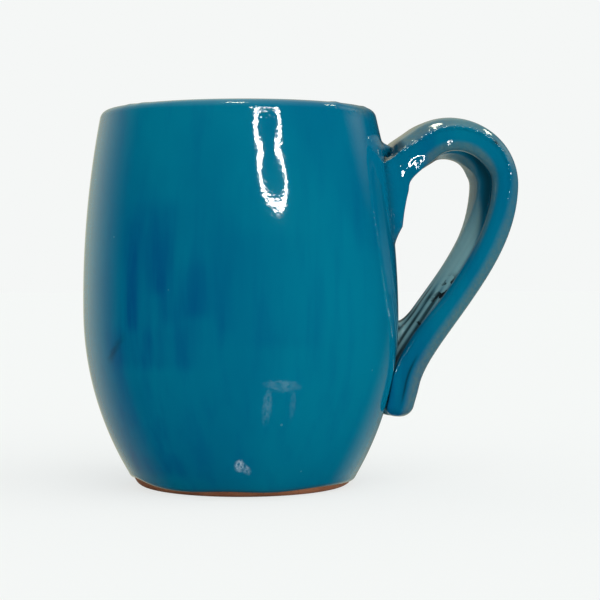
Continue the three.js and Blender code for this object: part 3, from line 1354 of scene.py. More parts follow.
@dataclass
class Strap:
    """One skin of the strap as a net of points, with where each of them lies on it."""

    points: np.ndarray
    end: np.ndarray
    past_wall: np.ndarray
    side: np.ndarray
    facing: np.ndarray
    clear: np.ndarray

    def near_wall(self, reach: float) -> np.ndarray:
        """Is 1 where the strap meets the wall and fades out over the reach."""
        return hump(np.maximum(self.clear, 0.0), 0.0, reach)


@dataclass(frozen=True)
class StrapLook:
    """Where the strap's glaze pools or has shade painted into its groove and crevices, wears thin, loses
    gloss, puckers and crawls.

    Runs are distances along the strap past the wall, sides are distances from its middle and reaches are
    distances off the wall. Facings tell how far a place faces outwards, from -1 on the inner face to 1 on
    the outer.
    """

    inner_facing: Stretch = Stretch(-0.3, -0.8)
    low_run: Stretch = Stretch(48.0 * MM, 68.0 * MM)
    # Dark pools of glaze, with painted shade in the groove beside the rib, along the joints with the wall
    # and in the crevice above the tail
    valley: float = 0.85
    valley_past_rib: Spot = Spot(0.5 * MM, 1.2 * MM)
    valley_run: Band = Band(22.0 * MM, 36.0 * MM, 50.0 * MM, 72.0 * MM)
    seam: float = 0.4
    seam_reach: float = 1.2 * MM
    seam_run: Stretch = Stretch(70.0 * MM, 40.0 * MM)
    step: float = 0.75
    step_facing: Spot = Spot(-0.06, 0.08)
    step_run: Band = Band(102.0 * MM, 108.0 * MM, 114.0 * MM, 120.0 * MM)
    nook_shade: float = 0.9
    nook_reach: float = 3.0 * MM
    nook_run: Band = Band(76.0 * MM, 82.0 * MM, 92.0 * MM, 98.0 * MM)
    blot: float = 0.75
    blot_facing: Stretch = Stretch(0.1, 0.3)
    blot_run: Stretch = Stretch(9.5 * MM, 7.5 * MM)
    ditch: float = 0.9
    ditch_line: Stretch = Stretch(0.6, 0.3)
    ditch_run: Stretch = Stretch(79.0 * MM, 88.0 * MM)
    pinhole_facing: Spot = Spot(0.16, 0.14)
    pinhole_run: Spot = Spot(34.8 * MM, 0.8 * MM)
    # Thin glaze along the outer face and the inner edge
    outer_thin: float = 0.42
    outer_facing: Stretch = Stretch(0.0, 0.5)
    thicker: float = 0.2
    thicker_run: Spot = Spot(47.0 * MM, 16.0 * MM)
    edge_thin: float = 0.32
    edge_pool: float = 0.2
    edge_facing: Stretch = Stretch(-0.5, -0.7)
    edge_side: Stretch = Stretch(7.4 * MM, 8.6 * MM)
    edge_run: Band = Band(9.0 * MM, 14.0 * MM, 62.0 * MM, 74.0 * MM)
    # The rib's flat face and the finger lines on it
    flat_half_width: float = 5.4 * MM
    flat_low_widen: float = 1.8 * MM
    flat_edge: float = 0.6 * MM
    flat_facing: Stretch = Stretch(-0.6, -0.9)
    flat_run: Stretch = Stretch(12.0 * MM, 26.0 * MM)
    flat_thin: float = 0.34
    flat_low_thicker: float = 0.24
    flat_frost: float = 0.12
    flat_low_frost: float = 0.83
    line_pitch: float = 2.1 * MM
    line_depth: float = 0.06
    line_low_depth: float = 0.34
    line_low_run: Stretch = Stretch(76.0 * MM, 88.0 * MM)
    line_bend: float = 1.3
    line_bend_length: float = 7.0 * MM
    # Streaks
    streak: float = 0.5
    streak_run: Stretch = Stretch(90.0 * MM, 106.0 * MM)
    # Puckers
    crest_pucker: float = 2.8
    crest_facing: Spot = Spot(0.1, 0.2)
    crest_front: Stretch = Stretch(-0.2, 0.0)
    crest_run: Stretch = Stretch(60.0 * MM, 34.0 * MM)
    tail_pucker: float = 1.6
    tail_reach: float = 2.0 * MM
    tail_run: Spot = Spot(103.0 * MM, 6.0 * MM)
    root_pucker: float = 1.4
    root_reach: float = 2.6 * MM
    root_run: Stretch = Stretch(24.0 * MM, 12.0 * MM)
    # Crawled glaze
    crawl_side: Spot = Spot(6.8 * MM, 1.6 * MM)
    crawl_run: Stretch = Stretch(50.0 * MM, 60.0 * MM)
    crawl_height: Band = Band(43.0 * MM, 47.0 * MM, 58.0 * MM, 62.0 * MM)

    def finger_lines(self, strap: Strap) -> np.ndarray:
        """Lines that fingers left along the rib.

        Args:
            strap: the face of the glaze.

        Returns:
            Their height, 1 on top of them.
        """
        bend = self.line_bend * np.sin(strap.past_wall / self.line_bend_length)
        depth = self.line_depth + self.line_low_depth * self.line_low_run.share(strap.past_wall)
        return 1.0 - depth * (1.0 + np.cos(2 * math.pi * strap.side / self.line_pitch + bend))

    def flat(self, strap: Strap, low: np.ndarray) -> np.ndarray:
        """The flat face of the rib.

        Args:
            strap: the face of the glaze.
            low: how far places count as the lower strap, where the flat is wider.

        Returns:
            How far places lie on the flat.
        """
        half_width = self.flat_half_width + self.flat_low_widen * low
        across = ease(np.abs(strap.side), half_width + self.flat_edge, half_width - self.flat_edge)
        return self.flat_facing.share(strap.facing) * across * self.flat_run.share(strap.past_wall)

    def pooled_and_shaded(self, strap: Strap, rib_half_width: float) -> np.ndarray:
        """The dark lines beside the rib, along the wall and beside the tail: pooled glaze with painted
        shade in the groove and where the strap meets the wall.

        Args:
            strap: the face of the glaze.
            rib_half_width: half the width of the rib.

        Returns:
            How dark places are.
        """
        past = strap.past_wall
        inner = self.inner_facing.share(strap.facing)
        beside_rib = self.valley_past_rib.share(np.abs(strap.side) - rib_half_width)
        # Pooled glaze and painted shade in the groove beside the rib.
        valley = inner * beside_rib * self.valley_run.share(past)
        # Pooled glaze and painted shade along the joint with the wall near the root.
        seam = strap.near_wall(self.seam_reach) * self.seam_run.share(past)
        step = self.step_facing.share(strap.facing) * self.step_run.share(past)
        # Painted shade in the crevice where the strap's inner face meets the wall above the tail.
        nook_shade = inner * strap.near_wall(self.nook_reach) * self.nook_run.share(past)
        return self.valley * valley + self.seam * seam + self.step * step + self.nook_shade * nook_shade

    def puckered(self, strap: Strap) -> np.ndarray:
        """The puckers along the crest and where the strap meets the wall.

        Args:
            strap: the face of the glaze.

        Returns:
            How strong they are.
        """
        past = strap.past_wall
        crest = self.crest_facing.share(strap.facing) * self.crest_front.share(strap.facing)
        crest = crest * self.crest_run.share(past)
        tail = strap.near_wall(self.tail_reach) * self.tail_run.share(past)
        root = strap.near_wall(self.root_reach) * self.root_run.share(past)
        return self.crest_pucker * crest + self.tail_pucker * tail + self.root_pucker * root

    def crawled(self, strap: Strap) -> np.ndarray:
        """The crawled glaze beside the rib, on the slant.

        Args:
            strap: the face of the glaze.

        Returns:
            How far places may be crawled.
        """
        beside = self.inner_facing.share(strap.facing) * self.crawl_side.share(np.abs(strap.side))
        level = self.crawl_height.share(strap.points[..., 2])
        return beside * level * self.crawl_run.share(strap.past_wall)

    def marks(self, strap: Strap, rib_half_width: float) -> dict[Mark, np.ndarray]:
        """What the points of the strap's glaze say to it.

        Args:
            strap: the face of the glaze.
            rib_half_width: half the width of the rib.

        Returns:
            The strength of each mark, by point.
        """
        past, facing = strap.past_wall, strap.facing
        low = self.low_run.share(past)
        lines = self.finger_lines(strap)
        flat = self.flat(strap, low)
        blot = self.blot_run.share(past) * self.blot_facing.share(facing)
        ditch = flat * self.ditch_run.share(past) * self.ditch_line.share(lines)
        pinhole = self.pinhole_run.share(past) * self.pinhole_facing.share(facing) * (strap.side < 0)
        edge = self.edge_facing.share(facing) * self.edge_side.share(np.abs(strap.side))
        edge = edge * self.edge_run.share(past)
        pool_and_shade = self.pooled_and_shaded(strap, rib_half_width) + self.blot * blot + self.ditch * ditch
        pool_and_shade = pool_and_shade + self.edge_pool * edge + pinhole
        outer = self.outer_facing.share(facing) * (1.0 - blot)
        outer = outer * (self.outer_thin - self.thicker * self.thicker_run.share(past))
        worn = flat * (self.flat_thin - self.flat_low_thicker * low)
        return {
            Mark.POOL_AND_SHADE: np.clip(pool_and_shade, 0.0, 1.0),
            Mark.THIN: (outer + worn + self.edge_thin * edge) * (1.0 - pinhole),
            Mark.STREAK: self.streak * self.streak_run.share(past),
            Mark.PUCKER: self.puckered(strap),
            Mark.CRAWL: self.crawled(strap),
            Mark.FROST: flat * (self.flat_frost + self.flat_low_frost * low * lines),
        }


@dataclass
class Handle:
    """The pulled strap: its clay, the slip under its two ends and its coat of glaze."""

    sizes: HandleSizes
    bowl: BowlSizes
    wall: ClayLine
    throwing: Throwing
    line: StrapLine
    glaze: bpy.types.Material
    clay: bpy.types.Material
    slip: bpy.types.Material
    look: StrapLook = StrapLook()
    # Net
    around: int = 144
    crowd_angles: tuple[float, ...] = (90.0, 145.0, 215.0, 270.0)
    crowd_reach: float = 12.0
    crowd_weight: float = 2.0
    rows: int = 210
    row_crowding: float = 1.25
    end_rows: int = 8
    cap_sizes: tuple[float, ...] = (0.7, 0.4, 0.15)
    root_search: float = 40.0 * MM
    bed_rows: int = 10
    bed_hole: float = 0.1
    bed_half_width: float = 0.42
    # Flare where the strap meets the wall, by run past the wall and by how far a place faces up
    sink: float = 0.15 * MM
    back_sink: float = 0.05 * MM
    back_flare: float = 0.9
    clay_flare: float = 0.4
    fillet_side: float = 4.5 * MM
    fillet_under: float = 5.0 * MM
    fillet_top: float = 0.8 * MM
    fillet_tail: float = 3.0 * MM
    fillet_armpit: float = 5.5 * MM
    under_up: Stretch = Stretch(-0.2, -0.9)
    top_up: Stretch = Stretch(0.2, 0.8)
    root_run: Stretch = Stretch(42.0 * MM, 26.0 * MM)
    tail_run: Stretch = Stretch(80.0 * MM, 95.0 * MM)
    tail_sides: Stretch = Stretch(0.8, 0.97)
    armpit_run: Stretch = Stretch(64.0 * MM, 72.0 * MM)
    armpit_up: Stretch = Stretch(0.3, 0.8)

    def turns(self) -> np.ndarray:
        """Angles round the section, closer together at the crests and at the grooves.

        Returns:
            The angles, from 0 on the outer face.
        """
        reach = math.radians(self.crowd_reach)
        crowds = [(math.radians(angle), reach, self.crowd_weight) for angle in self.crowd_angles]
        return crowded(0.0, 2 * math.pi, self.around + 1, crowds)[:-1]

    def outline(self, past: np.ndarray, turn: np.ndarray) -> tuple[np.ndarray, np.ndarray]:
        """The form of the section, with bevelled corners outside and a squared round inside.

        Args:
            past: distances along the line past the wall.
            turn: angles round the section, 0 on the outer face.

        Returns:
            How far each place faces outwards and how far it lies to the side, both from -1 to 1.
        """
        sizes = self.sizes
        pressed = sizes.tail_square_run.share(past)
        pinched = sizes.root_square_run.share(past)
        square = sizes.squareness + (sizes.tail_squareness - sizes.squareness) * pressed
        square = square + (sizes.root_squareness - sizes.squareness) * pinched
        out, across = np.abs(np.cos(turn)), np.abs(np.sin(turn))
        slope = sizes.chamfer * (np.hypot(out, sizes.crest_softness) - sizes.crest_softness)
        power = sizes.corner_squareness
        corner = (out**power + (slope + across) ** power) ** (-1.0 / power)
        bend = (out**square + across**square) ** (-1.0 / square)
        outside = np.cos(turn) > 0
        facing = np.where(outside, corner * out, -bend * out)
        side = np.sign(np.sin(turn)) * np.where(outside, corner * across, bend * across)
        return facing, side

    def section(
        self, run: np.ndarray, turn: np.ndarray, grow: np.ndarray | float
    ) -> tuple[np.ndarray, np.ndarray, np.ndarray]:
        """Where the strap's skin lies round its line.

        Args:
            run: distances along the line.
            turn: angles round the section, 0 on the outer face.
            grow: how far the skin lies off the clay.

        Returns:
            Distances outwards, distances sideways, and how far each place faces outwards.
        """
        sizes = self.sizes
        past = run - self.line.buried
        root = np.clip((sizes.root_lead - past) / sizes.root_blend, 0.0, 1.0) ** 2
        facing, side = self.outline(past, turn)
        aside = (sizes.strap_width / 2 + sizes.root_widen * root + grow) * side
        soft = np.maximum(*(stretch.share(past) for stretch in sizes.soft_rib_runs))
        half_width = sizes.rib_half_width + (sizes.soft_rib_half_width - sizes.rib_half_width) * soft
        flank = sizes.rib_flank + (sizes.soft_rib_flank - sizes.rib_flank) * soft
        rib = sizes.rib * sizes.rib_run.share(past)
        rib = rib * ease(np.abs(aside), half_width + flank, half_width - flank)
        for bulge in sizes.bulges:
            aside = aside + bulge.rise * bulge.run.share(past) * bulge.facing.share(facing) * side
        half = sizes.strap_thickness / 2
        crest = sizes.crest + sizes.crest_rise * sizes.crest_run.share(past)
        shoulder = sizes.shoulder * sizes.shoulder_run.share(past)
        dent = sizes.dent * sizes.dent_run.share(past)
        slimmed = sizes.slim * sizes.slim_run.share(past)
        outer = crest + (half - crest + shoulder - dent - slimmed + grow) * facing
        inner = crest + (half + crest + sizes.root_swell * root + rib + grow) * facing
        groove = sizes.groove * sizes.groove_run.share(past) * sizes.groove_side.share(np.abs(aside))
        ridges = np.cos(2 * math.pi * aside / sizes.ridge_pitch) * hump(aside, 0.0, sizes.ridge_reach)
        ridges = sizes.ridge * ridges * sizes.ridge_run.share(past)
        inner = inner + (groove - ridges) * facing * facing
        return np.where(facing > 0, outer, inner), aside, facing

    def skin(self, run: np.ndarray, turn: np.ndarray, grow: np.ndarray | float) -> np.ndarray:
        """The strap's skin in the mug's frame, before it meets the wall.

        Args:
            run: distances along the line.
            turn: angles round the section.
            grow: how far the skin lies off the clay.

        Returns:
            Its points.
        """
        out, aside, _ = self.section(run, turn, grow)
        middle, tangent = self.line.at(run)
        x = middle[..., 0] - out * tangent[..., 1]
        z = middle[..., 1] + out * tangent[..., 0]
        return np.stack(np.broadcast_arrays(x, aside, z), axis=-1)

    def starts(self, turn: np.ndarray, grow: float, off: float) -> np.ndarray:
        """Where the skin comes out of the wall.

        Args:
            turn: angles round the section.
            grow: how far the skin lies off the strap's clay.
            off: how far the face that it meets lies off the bowl's clay.

        Returns:
            Distances along the line, by angle.
        """
        run = np.arange(0.0, self.line.buried + self.root_search, self.line.SPACING)[:, None]
        clear, _ = self.wall.clearance(self.skin(run, turn, grow), off)
        inside = clear < 0
        last = inside.shape[0] - 1 - inside[::-1].argmax(axis=0)
        return run[last, 0]

    def strap(self, grow: float, off: float, sink: float, flare: float) -> Strap:
        """The strap's skin from the wall to the rounded end of the tail, flared and pressed on to the wall.

        Args:
            grow: how far the skin lies off the strap's clay.
            off: how far the face that it meets lies off the bowl's clay.
            sink: how far the skin dips below that face.
            flare: share of the full flare where the skin meets the wall.

        Returns:
            The net, from the root to the tail.
        """
        turn = self.turns()
        start = self.starts(turn, grow, off)
        straight = self.line.length - self.sizes.tail_round
        share = (np.linspace(0.0, 1.0, self.rows) ** self.row_crowding)[:, None]
        bend = np.linspace(0.0, QUARTER, self.end_rows + 1)[1:, None]
        round_run = straight + self.sizes.tail_round * np.sin(bend)
        round_run = np.broadcast_to(round_run, (self.end_rows, self.around))
        round_grow = grow * np.cos(bend) - self.sizes.tail_round * (1.0 - np.cos(bend))
        run = np.concatenate([start + (straight - start) * share, round_run])
        grown = np.concatenate([np.full((self.rows, 1), grow), round_grow])
        shift = np.concatenate([np.zeros((self.rows, 1)), grow * np.sin(bend)])
        points = self.skin(run, turn, grown)
        middle, tangent = self.line.at(run)
        points[..., 0] += shift * tangent[..., 0]
        points[..., 2] += shift * tangent[..., 1]
        near_end = ease(run, straight - self.sizes.tail_cut_length, straight)
        points[..., 2] += self.sizes.tail_cut * near_end * (points[..., 0] - middle[..., 0])
        last = points[-1]
        centre = last.mean(axis=0)
        caps = np.stack([centre + size * (last - centre) for size in self.cap_sizes])
        points = np.concatenate([points, caps])
        run = np.concatenate([run, np.repeat(run[-1:], len(caps), axis=0)])
        grown = np.concatenate([grown, np.repeat(grown[-1:], len(caps), axis=0)])
        _, side, facing = self.section(run, turn, grown)
        middle, _ = self.line.at(run)
        past = run - self.line.buried
        points, clear = self.seat(points, middle, past, np.abs(side), off, sink, flare)
        end, _ = self.seat(centre[None], middle[-1, :1], past[-1, :1], np.zeros(1), off, sink, flare)
        return Strap(points, end[0], past, side, np.broadcast_to(facing, side.shape), clear)

    def seat(
        self,
        points: np.ndarray,
        middle: np.ndarray,
        past: np.ndarray,
        aside: np.ndarray,
        off: float,
        sink: float,
        flare: float,
    ) -> tuple[np.ndarray, np.ndarray]:
        """Flares the skin where it meets the wall, and lifts what would lie inside the wall on to its face.

        Args:
            points: points of the skin.
            middle: points of the line that they lie round.
            past: how far along the line past the wall they lie.
            aside: how far from the strap's middle they lie.
            off: how far the wall's face lies off the bowl's clay.
            sink: how far the skin dips below that face.
            flare: share of the full flare.

        Returns:
            The moved points, and how far they stood off the wall before.
        """
        clear, outward = self.wall.clearance(points, off)
        away = points - np.stack([middle[..., 0], np.zeros_like(middle[..., 0]), middle[..., 1]], axis=-1)
        away = away - (away * outward).sum(-1, keepdims=True) * outward
        away = away / np.maximum(np.linalg.norm(away, axis=-1, keepdims=True), TINY)
        up = away[..., 2]
        fillet = self.fillet_side + (self.fillet_under - self.fillet_side) * self.under_up.share(up)
        fillet = fillet + (self.fillet_top - self.fillet_side) * self.top_up.share(up)
        at_root = self.root_run.share(past)
        sides = self.tail_sides.share(flare * aside / (self.sizes.strap_width / 2))
        armpit = self.armpit_run.share(past) * self.armpit_up.share(up)
        at_tail = np.maximum(self.tail_run.share(past) * sides, armpit)
        low_fillet = self.fillet_tail + (self.fillet_armpit - self.fillet_tail) * armpit
        fillet = np.where(at_root > 0, fillet, low_fillet)
        near = np.clip(1.0 - np.maximum(clear, 0.0) / fillet, 0.0, 1.0)
        flared = flare * fillet * (1.0 - np.sqrt(1.0 - near * near)) * np.maximum(at_root, at_tail)
        moved = points + flared[..., None] * away
        left, outward = self.wall.clearance(moved, off)
        lift = np.maximum(-sink - left, 0.0)
        press = np.where(at_root > 0, sink * near**2, 0.0)
        return moved + (lift - press)[..., None] * outward, clear

    def leaning_mesh(self, name: str, rows: np.ndarray, ends: list[np.ndarray]) -> bpy.types.Object:
        """A closed mesh that leans as the bowl does."""
        return closed_mesh(name, self.throwing.lean_over(rows), self.throwing.lean_over(np.array(ends)))

    def make_clay(self) -> bpy.types.Object:
        """The strap's clay, under its glaze.

        Returns:
            The piece.
        """
        skin = self.strap(0.0, self.sizes.slip_bed, 0.0, self.clay_flare)
        piece = self.leaning_mesh("handle_clay", skin.points, [skin.points[0].mean(axis=0), skin.end])
        fit_piece(piece, self.clay, Slot.CLAY, "handle_strap")
        return piece

    def make_glaze(self) -> bpy.types.Object:
        """The strap's coat of glaze, which runs out on to the wall at both ends.

        Returns:
            The piece.
        """
        face = self.strap(self.bowl.coat, self.bowl.coat, self.sink, 1.0)
        back = self.strap(self.bowl.bond, self.bowl.coat, self.back_sink, self.back_flare)
        rows = np.concatenate([face.points[::-1], back.points])
        piece = self.leaning_mesh("handle_glaze_coat", rows, [face.end, back.end])
        for kind, shares in self.look.marks(face, self.sizes.rib_half_width).items():
            mark(piece, kind, shares[::-1])
        fit_piece(piece, self.glaze, Slot.GLAZE, "handle_glaze")
        return piece

    def bed(self, name: str, angle: np.ndarray, height: np.ndarray, node: str) -> bpy.types.Object:
        """A thin bed of slip on the wall.

        Args:
            name: name of the piece.
            angle: places of its outline round the bowl.
            height: heights of its outline.
            node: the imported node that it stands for.

        Returns:
            The piece.
        """
        shares = np.linspace(1.0, self.bed_hole, self.bed_rows)[:, None]
        turn = angle.mean() + shares * (angle - angle.mean())
        rise = height.mean() + shares * (height - height.mean())
        layers = []
        for off in (self.sizes.slip_bed - self.bowl.bond, self.bowl.bond):
            radius = self.wall.outside_at(rise, off)
            layers.append(np.stack([radius * np.cos(turn), radius * np.sin(turn), rise], axis=-1))
        rows = np.concatenate([layers[0][::-1], layers[1]])
        piece = self.leaning_mesh(name, rows, [layer[-1].mean(axis=0) for layer in layers])
        fit_piece(piece, self.slip, Slot.SLIP, node)
        return piece

    def make_beds(self) -> None:
        """The slip that holds the strap's root and its tail on the wall."""
        turn = self.turns()
        start = self.starts(turn, 0.0, self.sizes.slip_bed)
        root = self.skin(start, turn, 0.0)
        self.bed("upper_slip", np.arctan2(root[:, 1], root[:, 0]), root[:, 2], "upper_slip_bed")
        half_width = self.bed_half_width * self.sizes.strap_width / self.bowl.belly_radius
        middle = (self.sizes.tail_height + self.sizes.landing_height) / 2
        half_height = (self.sizes.landing_height - self.sizes.tail_height) / 2
        power = 2.0 / self.sizes.squareness
        across = np.sign(np.sin(turn)) * np.abs(np.sin(turn)) ** power
        along = np.sign(np.cos(turn)) * np.abs(np.cos(turn)) ** power
        self.bed("lower_slip", half_width * across, middle + half_height * along, "lower_slip_bed")


# Studio


@dataclass(frozen=True)
class Card:
    """A pale wall or card that the gloss mirrors, by heading, height, cosine of its edge and brightness."""

    heading: float
    height: float
    edge: float
    level: float


@dataclass(frozen=True)
class Outline:
    """An ellipse or, if boxy, a rounded rectangle on the lamp's face, in shares of it. It may lean."""

    middle: Pair
    half: Pair
    slant: float = 0.0
    boxy: bool = False


@dataclass(frozen=True)
class Glint:
    """A faint light on the table, by its place, its length, its width, its turn and its brightness."""

    x: float
    y: float
    length: float
    width: float
    turn: float
    level: float


@dataclass(frozen=True)
class Studio:
    """The pale floor, the soft light and the camera."""

    white: tuple[float, float, float] = (0.913, 0.930, 0.922)
    floor_side: float = 6.0
    floor_pale: Color = (0.90, 0.915, 0.91, 1.0)
    floor_shown: Color = (0.22, 0.226, 0.222, 1.0)
    floor_glow: float = 0.754
    floor_roughness: float = 0.9
    paper: Clouds = Clouds(400.0, 4.0)
    paper_rise: float = 0.01 * MM
    ambient: float = 0.78
    dim: float = 0.004
    mirrored: tuple[float, float, float] = (1.0, 0.99, 0.74)
    cards: tuple[Card, ...] = (
        Card(124.0, 20.0, 0.63, 0.64),
        Card(124.0, -16.0, 0.65, 0.42),
        Card(88.0, 0.0, 0.93, 0.5),
        Card(84.0, -35.0, 0.78, 0.9),
        Card(50.0, -27.0, 0.87, 0.46),
        Card(19.0, 26.0, 0.945, 0.9),
        Card(-105.0, 75.0, 0.990, 45.0),
        Card(17.0, 47.0, 0.9965, 40.0),
        Card(84.0, 46.0, 0.70, 0.8),
        Card(0.0, 90.0, 0.38, 0.8),
    )
    sun_strength: float = 1.35
    sun_heading: float = -46.0
    sun_height: float = 48.0
    sun_softness: float = 80.0
    lamp_power: float = 40.0
    lamp_heading: float = -71.5
    lamp_height: float = 21.5
    lamp_distance: float = 1.2
    lamp_sides: Pair = (0.56, 0.40)
    lamp_outside: tuple[Outline, ...] = (
        Outline((0.4425, 0.765), (0.372, 0.157), boxy=True),
        Outline((0.50, 0.40), (0.378, 0.298), slant=0.4),
    )
    lamp_inside: tuple[Outline, ...] = (
        Outline((0.452, 0.78), (0.292, 0.131), boxy=True),
        Outline((0.445, 0.60), (0.165, 0.13)),
        Outline((0.515, 0.375), (0.312, 0.20), slant=0.4),
    )
    glints: tuple[Glint, ...] = (
        Glint(33.0 * MM, -102.0 * MM, 50.0 * MM, 24.0 * MM, 19.4, 1.3),
        Glint(11.8 * MM, -82.0 * MM, 42.0 * MM, 9.0 * MM, 104.7, 1.2),
        Glint(34.0 * MM, -77.0 * MM, 38.0 * MM, 6.0 * MM, 120.5, 0.6),
        Glint(-6.0 * MM, -41.2 * MM, 4.6 * MM, 5.6 * MM, 0.0, 6.0),
        Glint(-3.7 * MM, -40.2 * MM, 6.0 * MM, 3.6 * MM, 40.0, 3.0),
    )
    glint_height: float = 1.0 * MM
    glint_patches: Clouds = Clouds(6.0, 3.0)
    glint_gaps: float = 0.35
    glint_contrast: float = 4.0
    picture_side: float = 600.0
    focal: float = 1629.0
    camera_distance: float = 474.0 * MM
    camera_heading: float = -96.0
    camera_height: float = 64.4 * MM
    aim: tuple[float, float, float] = (16.5 * MM, 0.0, 53.2 * MM)

    @staticmethod
    def towards(heading: float, height: float) -> Vector:
        """A direction from the mug.

        Args:
            heading: its heading round the mug, in degrees.
            height: its height over the horizon, in degrees.

        Returns:
            The direction.
        """
        flat = math.cos(math.radians(height))
        around = math.radians(heading)
        return Vector((flat * math.cos(around), flat * math.sin(around), math.sin(math.radians(height))))

    @staticmethod
    def place(thing: bpy.types.Object, spot: Vector, target: Vector) -> None:
        """Stands a lamp or a camera in the scene.

        Args:
            thing: the lamp or the camera.
            spot: where it stands.
            target: what it is turned towards.
        """
        thing.location = spot
        thing.rotation_mode = "QUATERNION"
        thing.rotation_quaternion = (target - spot).to_track_quat("-Z", "Y")
        bpy.context.scene.collection.objects.link(thing)

    def make_floor(self) -> None:
        """The floor, which takes the mug's shadow and shows as pale as the background."""
        half = self.floor_side / 2
        corners = [(-half, -half, 0), (half, -half, 0), (half, half, 0), (-half, half, 0)]
        mesh = bpy.data.meshes.new("floor")
        mesh.from_pydata(corners, [], [(0, 1, 2, 3)])
        floor = bpy.data.objects.new("floor", mesh)
        bpy.context.scene.collection.objects.link(floor)
        recipe = Recipe("pale_floor")
        path = recipe.node("LightPath", {}).outputs
        seen = recipe.sum("ADD", path["Is Camera Ray"], path["Is Transmission Ray"])
        seen = recipe.sum("ADD", seen, path["Is Glossy Ray"])
        color = recipe.blend(seen, self.floor_pale, self.floor_shown)
        glow = recipe.sum("MULTIPLY", seen, self.floor_glow)
        recipe.feed(recipe.shader.inputs["Emission Color"], (*self.white, 1.0))
        recipe.feed(recipe.shader.inputs["Emission Strength"], glow)
        recipe.feed(recipe.shader.inputs["Specular IOR Level"], 0.0)
        paper = recipe.bump(recipe.noise(self.paper), self.paper_rise)
        mesh.materials.append(recipe.finish(color, self.floor_roughness, paper))
        floor.visible_glossy = False

    def seen(self, weave: Weave, place: object, card: Card) -> bpy.types.NodeSocket:
        """How bright a card is.

        Args:
            weave: the world's nodes.
            place: the direction that is looked in.
            card: the card.

        Returns:
            Its brightness in that direction.
        """
        ahead = weave.vector("DOT_PRODUCT", place, tuple(self.towards(card.heading, card.height)))
        fade = Span(card.edge, 1.0, 0.0, math.sqrt(card.level))
        pale = weave.span(ahead.outputs["Value"], fade, bend="LINEAR")
        return weave.sum("MULTIPLY", pale, pale, clamp=False)

    def make_world(self) -> None:
        """White surroundings for the camera, pale cards for the gloss, and soft light all round."""
        world = bpy.data.worlds.new("studio")
        bpy.context.scene.world = world
        world.use_nodes = True
        weave = Weave(world.node_tree)
        path = weave.node("LightPath", {}).outputs
        place = weave.node("TexCoord", {}).outputs["Generated"]
        shine: object = self.dim
        for card in self.cards:
            shine = weave.sum("ADD", shine, self.seen(weave, place, card), clamp=False)
        white = (*self.white, 1.0)
        soft = tuple(self.ambient * part for part in self.white)
        mirrored = weave.node("VectorMath", {"operation": "SCALE"}, Scale=shine)
        mirrored.inputs[0].default_value = self.mirrored
        light = weave.blend(path["Is Glossy Ray"], (*soft, 1.0), mirrored.outputs[0])
        light = weave.blend(path["Is Transmission Ray"], light, white)
        light = weave.blend(path["Is Camera Ray"], light, white)
        weave.feed(world.node_tree.nodes["Background"].inputs["Color"], light)

    @staticmethod
    def gloss_lamp(name: str, shape: str, sides: Pair, power: float) -> tuple[bpy.types.Object, Weave]:
        """A flat lamp that only the gloss mirrors.

        Args:
            name: name of the lamp.
            shape: Blender's word for its form.
            sides: its length and width.
            power: its power in watts.

        Returns:
            The lamp, which has no place yet, and its nodes.
        """
        area = bpy.data.lights.new(name, "AREA")
        area.shape = shape
        area.size, area.size_y = sides
        area.energy = power
        area.use_nodes = True
        lamp = bpy.data.objects.new(name, area)
        lamp.visible_diffuse = False
        lamp.visible_camera = False
        return lamp, Weave(area.node_tree)

    def make_lights(self, target: Vector) -> None:
        """A wide soft key from the front right, and a lamp that the gloss mirrors as two loops.

        Args:
            target: what they shine on.
        """
        sun = bpy.data.lights.new("soft_key", "SUN")
        sun.energy = self.sun_strength
        sun.angle = math.radians(self.sun_softness)
        key = bpy.data.objects.new("soft_key", sun)
        key.visible_glossy = False
        self.place(key, target + self.towards(self.sun_heading, self.sun_height), target)
        lamp, weave = self.gloss_lamp("loop_lamp", "RECTANGLE", self.lamp_sides, self.lamp_power)
        self.shape_lamp(weave)
        away = self.lamp_distance * self.towards(self.lamp_heading, self.lamp_height)
        self.place(lamp, target + away, target)

    def shape_lamp(self, weave: Weave) -> None:
        """Lets the lamp shine only along one line that loops twice, the loops one over the other.

        Args:
            weave: the lamp's nodes.
        """
        place = weave.node("NewGeometry", {}).outputs["Parametric"]
        glow: object = 0.0
        for shape in self.lamp_outside:
            glow = weave.sum("MAXIMUM", glow, weave.within(place, shape))
        for shape in self.lamp_inside:
            glow = weave.sum("SUBTRACT", glow, weave.within(place, shape))
        weave.feed(weave.tree.nodes["Emission"].inputs["Strength"], glow)

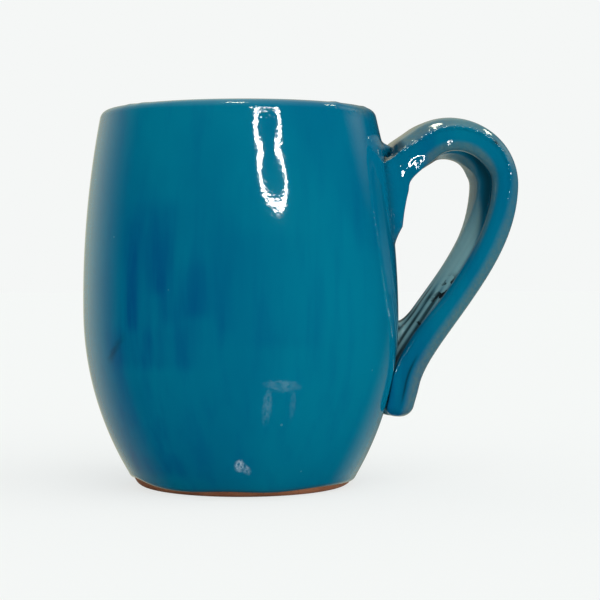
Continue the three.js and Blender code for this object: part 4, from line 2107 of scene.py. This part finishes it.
    def make_glints(self) -> None:
        """Faint patchy lights that the table throws back on to the lower belly."""
        for number, glint in enumerate(self.glints):
            power = glint.level * math.pi * glint.length * glint.width
            sides = (glint.length, glint.width)
            lamp, weave = self.gloss_lamp(f"table_glint_{number}", "ELLIPSE", sides, power)
            place = weave.node("NewGeometry", {}).outputs["Parametric"]
            aside = weave.vector("MULTIPLY_ADD", place, (2.0, 2.0, 0.0))
            aside.inputs[2].default_value = (-1.0, -1.0, 0.0)
            edge = weave.vector("DOT_PRODUCT", aside.outputs[0], aside.outputs[0]).outputs["Value"]
            patches = self.glint_patches
            cloud = weave.node("TexNoise", {}, Vector=place, Scale=patches.scale, Detail=patches.detail)
            patchy = weave.sum("SUBTRACT", cloud.outputs[0], self.glint_gaps)
            patchy = weave.sum("MULTIPLY", patchy, self.glint_contrast)
            glow = weave.sum("MULTIPLY", weave.sum("SUBTRACT", 1.0, edge), patchy)
            weave.feed(weave.tree.nodes["Emission"].inputs["Strength"], glow)
            lamp.location = (glint.x, glint.y, self.glint_height)
            lamp.rotation_euler = (math.pi, 0.0, math.radians(glint.turn))
            bpy.context.scene.collection.objects.link(lamp)

    def make_camera(self) -> None:
        """The camera, a little above the belly and slightly to the left of square on to the handle."""
        data = bpy.data.cameras.new("camera")
        data.lens = data.sensor_width * self.focal / self.picture_side
        camera = bpy.data.objects.new("camera", data)
        spot = self.camera_distance * self.towards(self.camera_heading, 0.0)
        spot.z = self.camera_height
        self.place(camera, spot, Vector(self.aim))
        bpy.context.scene.camera = camera

    def set_up(self, target: Vector) -> None:
        """Builds the studio round the mug.

        Args:
            target: what the lights shine on.
        """
        bpy.context.scene.view_settings.view_transform = "Standard"
        self.make_floor()
        self.make_world()
        self.make_lights(target)
        self.make_glints()
        self.make_camera()


def write_sizes() -> None:
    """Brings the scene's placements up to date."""
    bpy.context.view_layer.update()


def main() -> None:
    """Builds the bowl, the handle and the studio in order."""
    logging.basicConfig(level=logging.INFO, format="%(message)s")
    glaze = Glaze().material()
    clay = RED_CLAY.material()
    slip = SLIP.material()
    bowl_sizes = BowlSizes.from_frame()
    section = ClayLine(bowl_sizes)
    throwing = Throwing(bowl_sizes.height)
    bowl = Bowl(bowl_sizes, section, throwing, glaze, clay)
    bowl.make_clay()
    bowl.make_liner()
    bowl.make_outer()
    handle_sizes = HandleSizes.from_frame(bowl_sizes)
    line = StrapLine(handle_sizes, bowl_sizes, section)
    handle = Handle(handle_sizes, bowl_sizes, section, throwing, line, glaze, clay, slip)
    handle.make_clay()
    handle.make_glaze()
    handle.make_beds()
    Studio().set_up(Vector((0.0, 0.0, bowl_sizes.height / 2)))
    write_sizes()


if __name__ == "__main__":
    main()
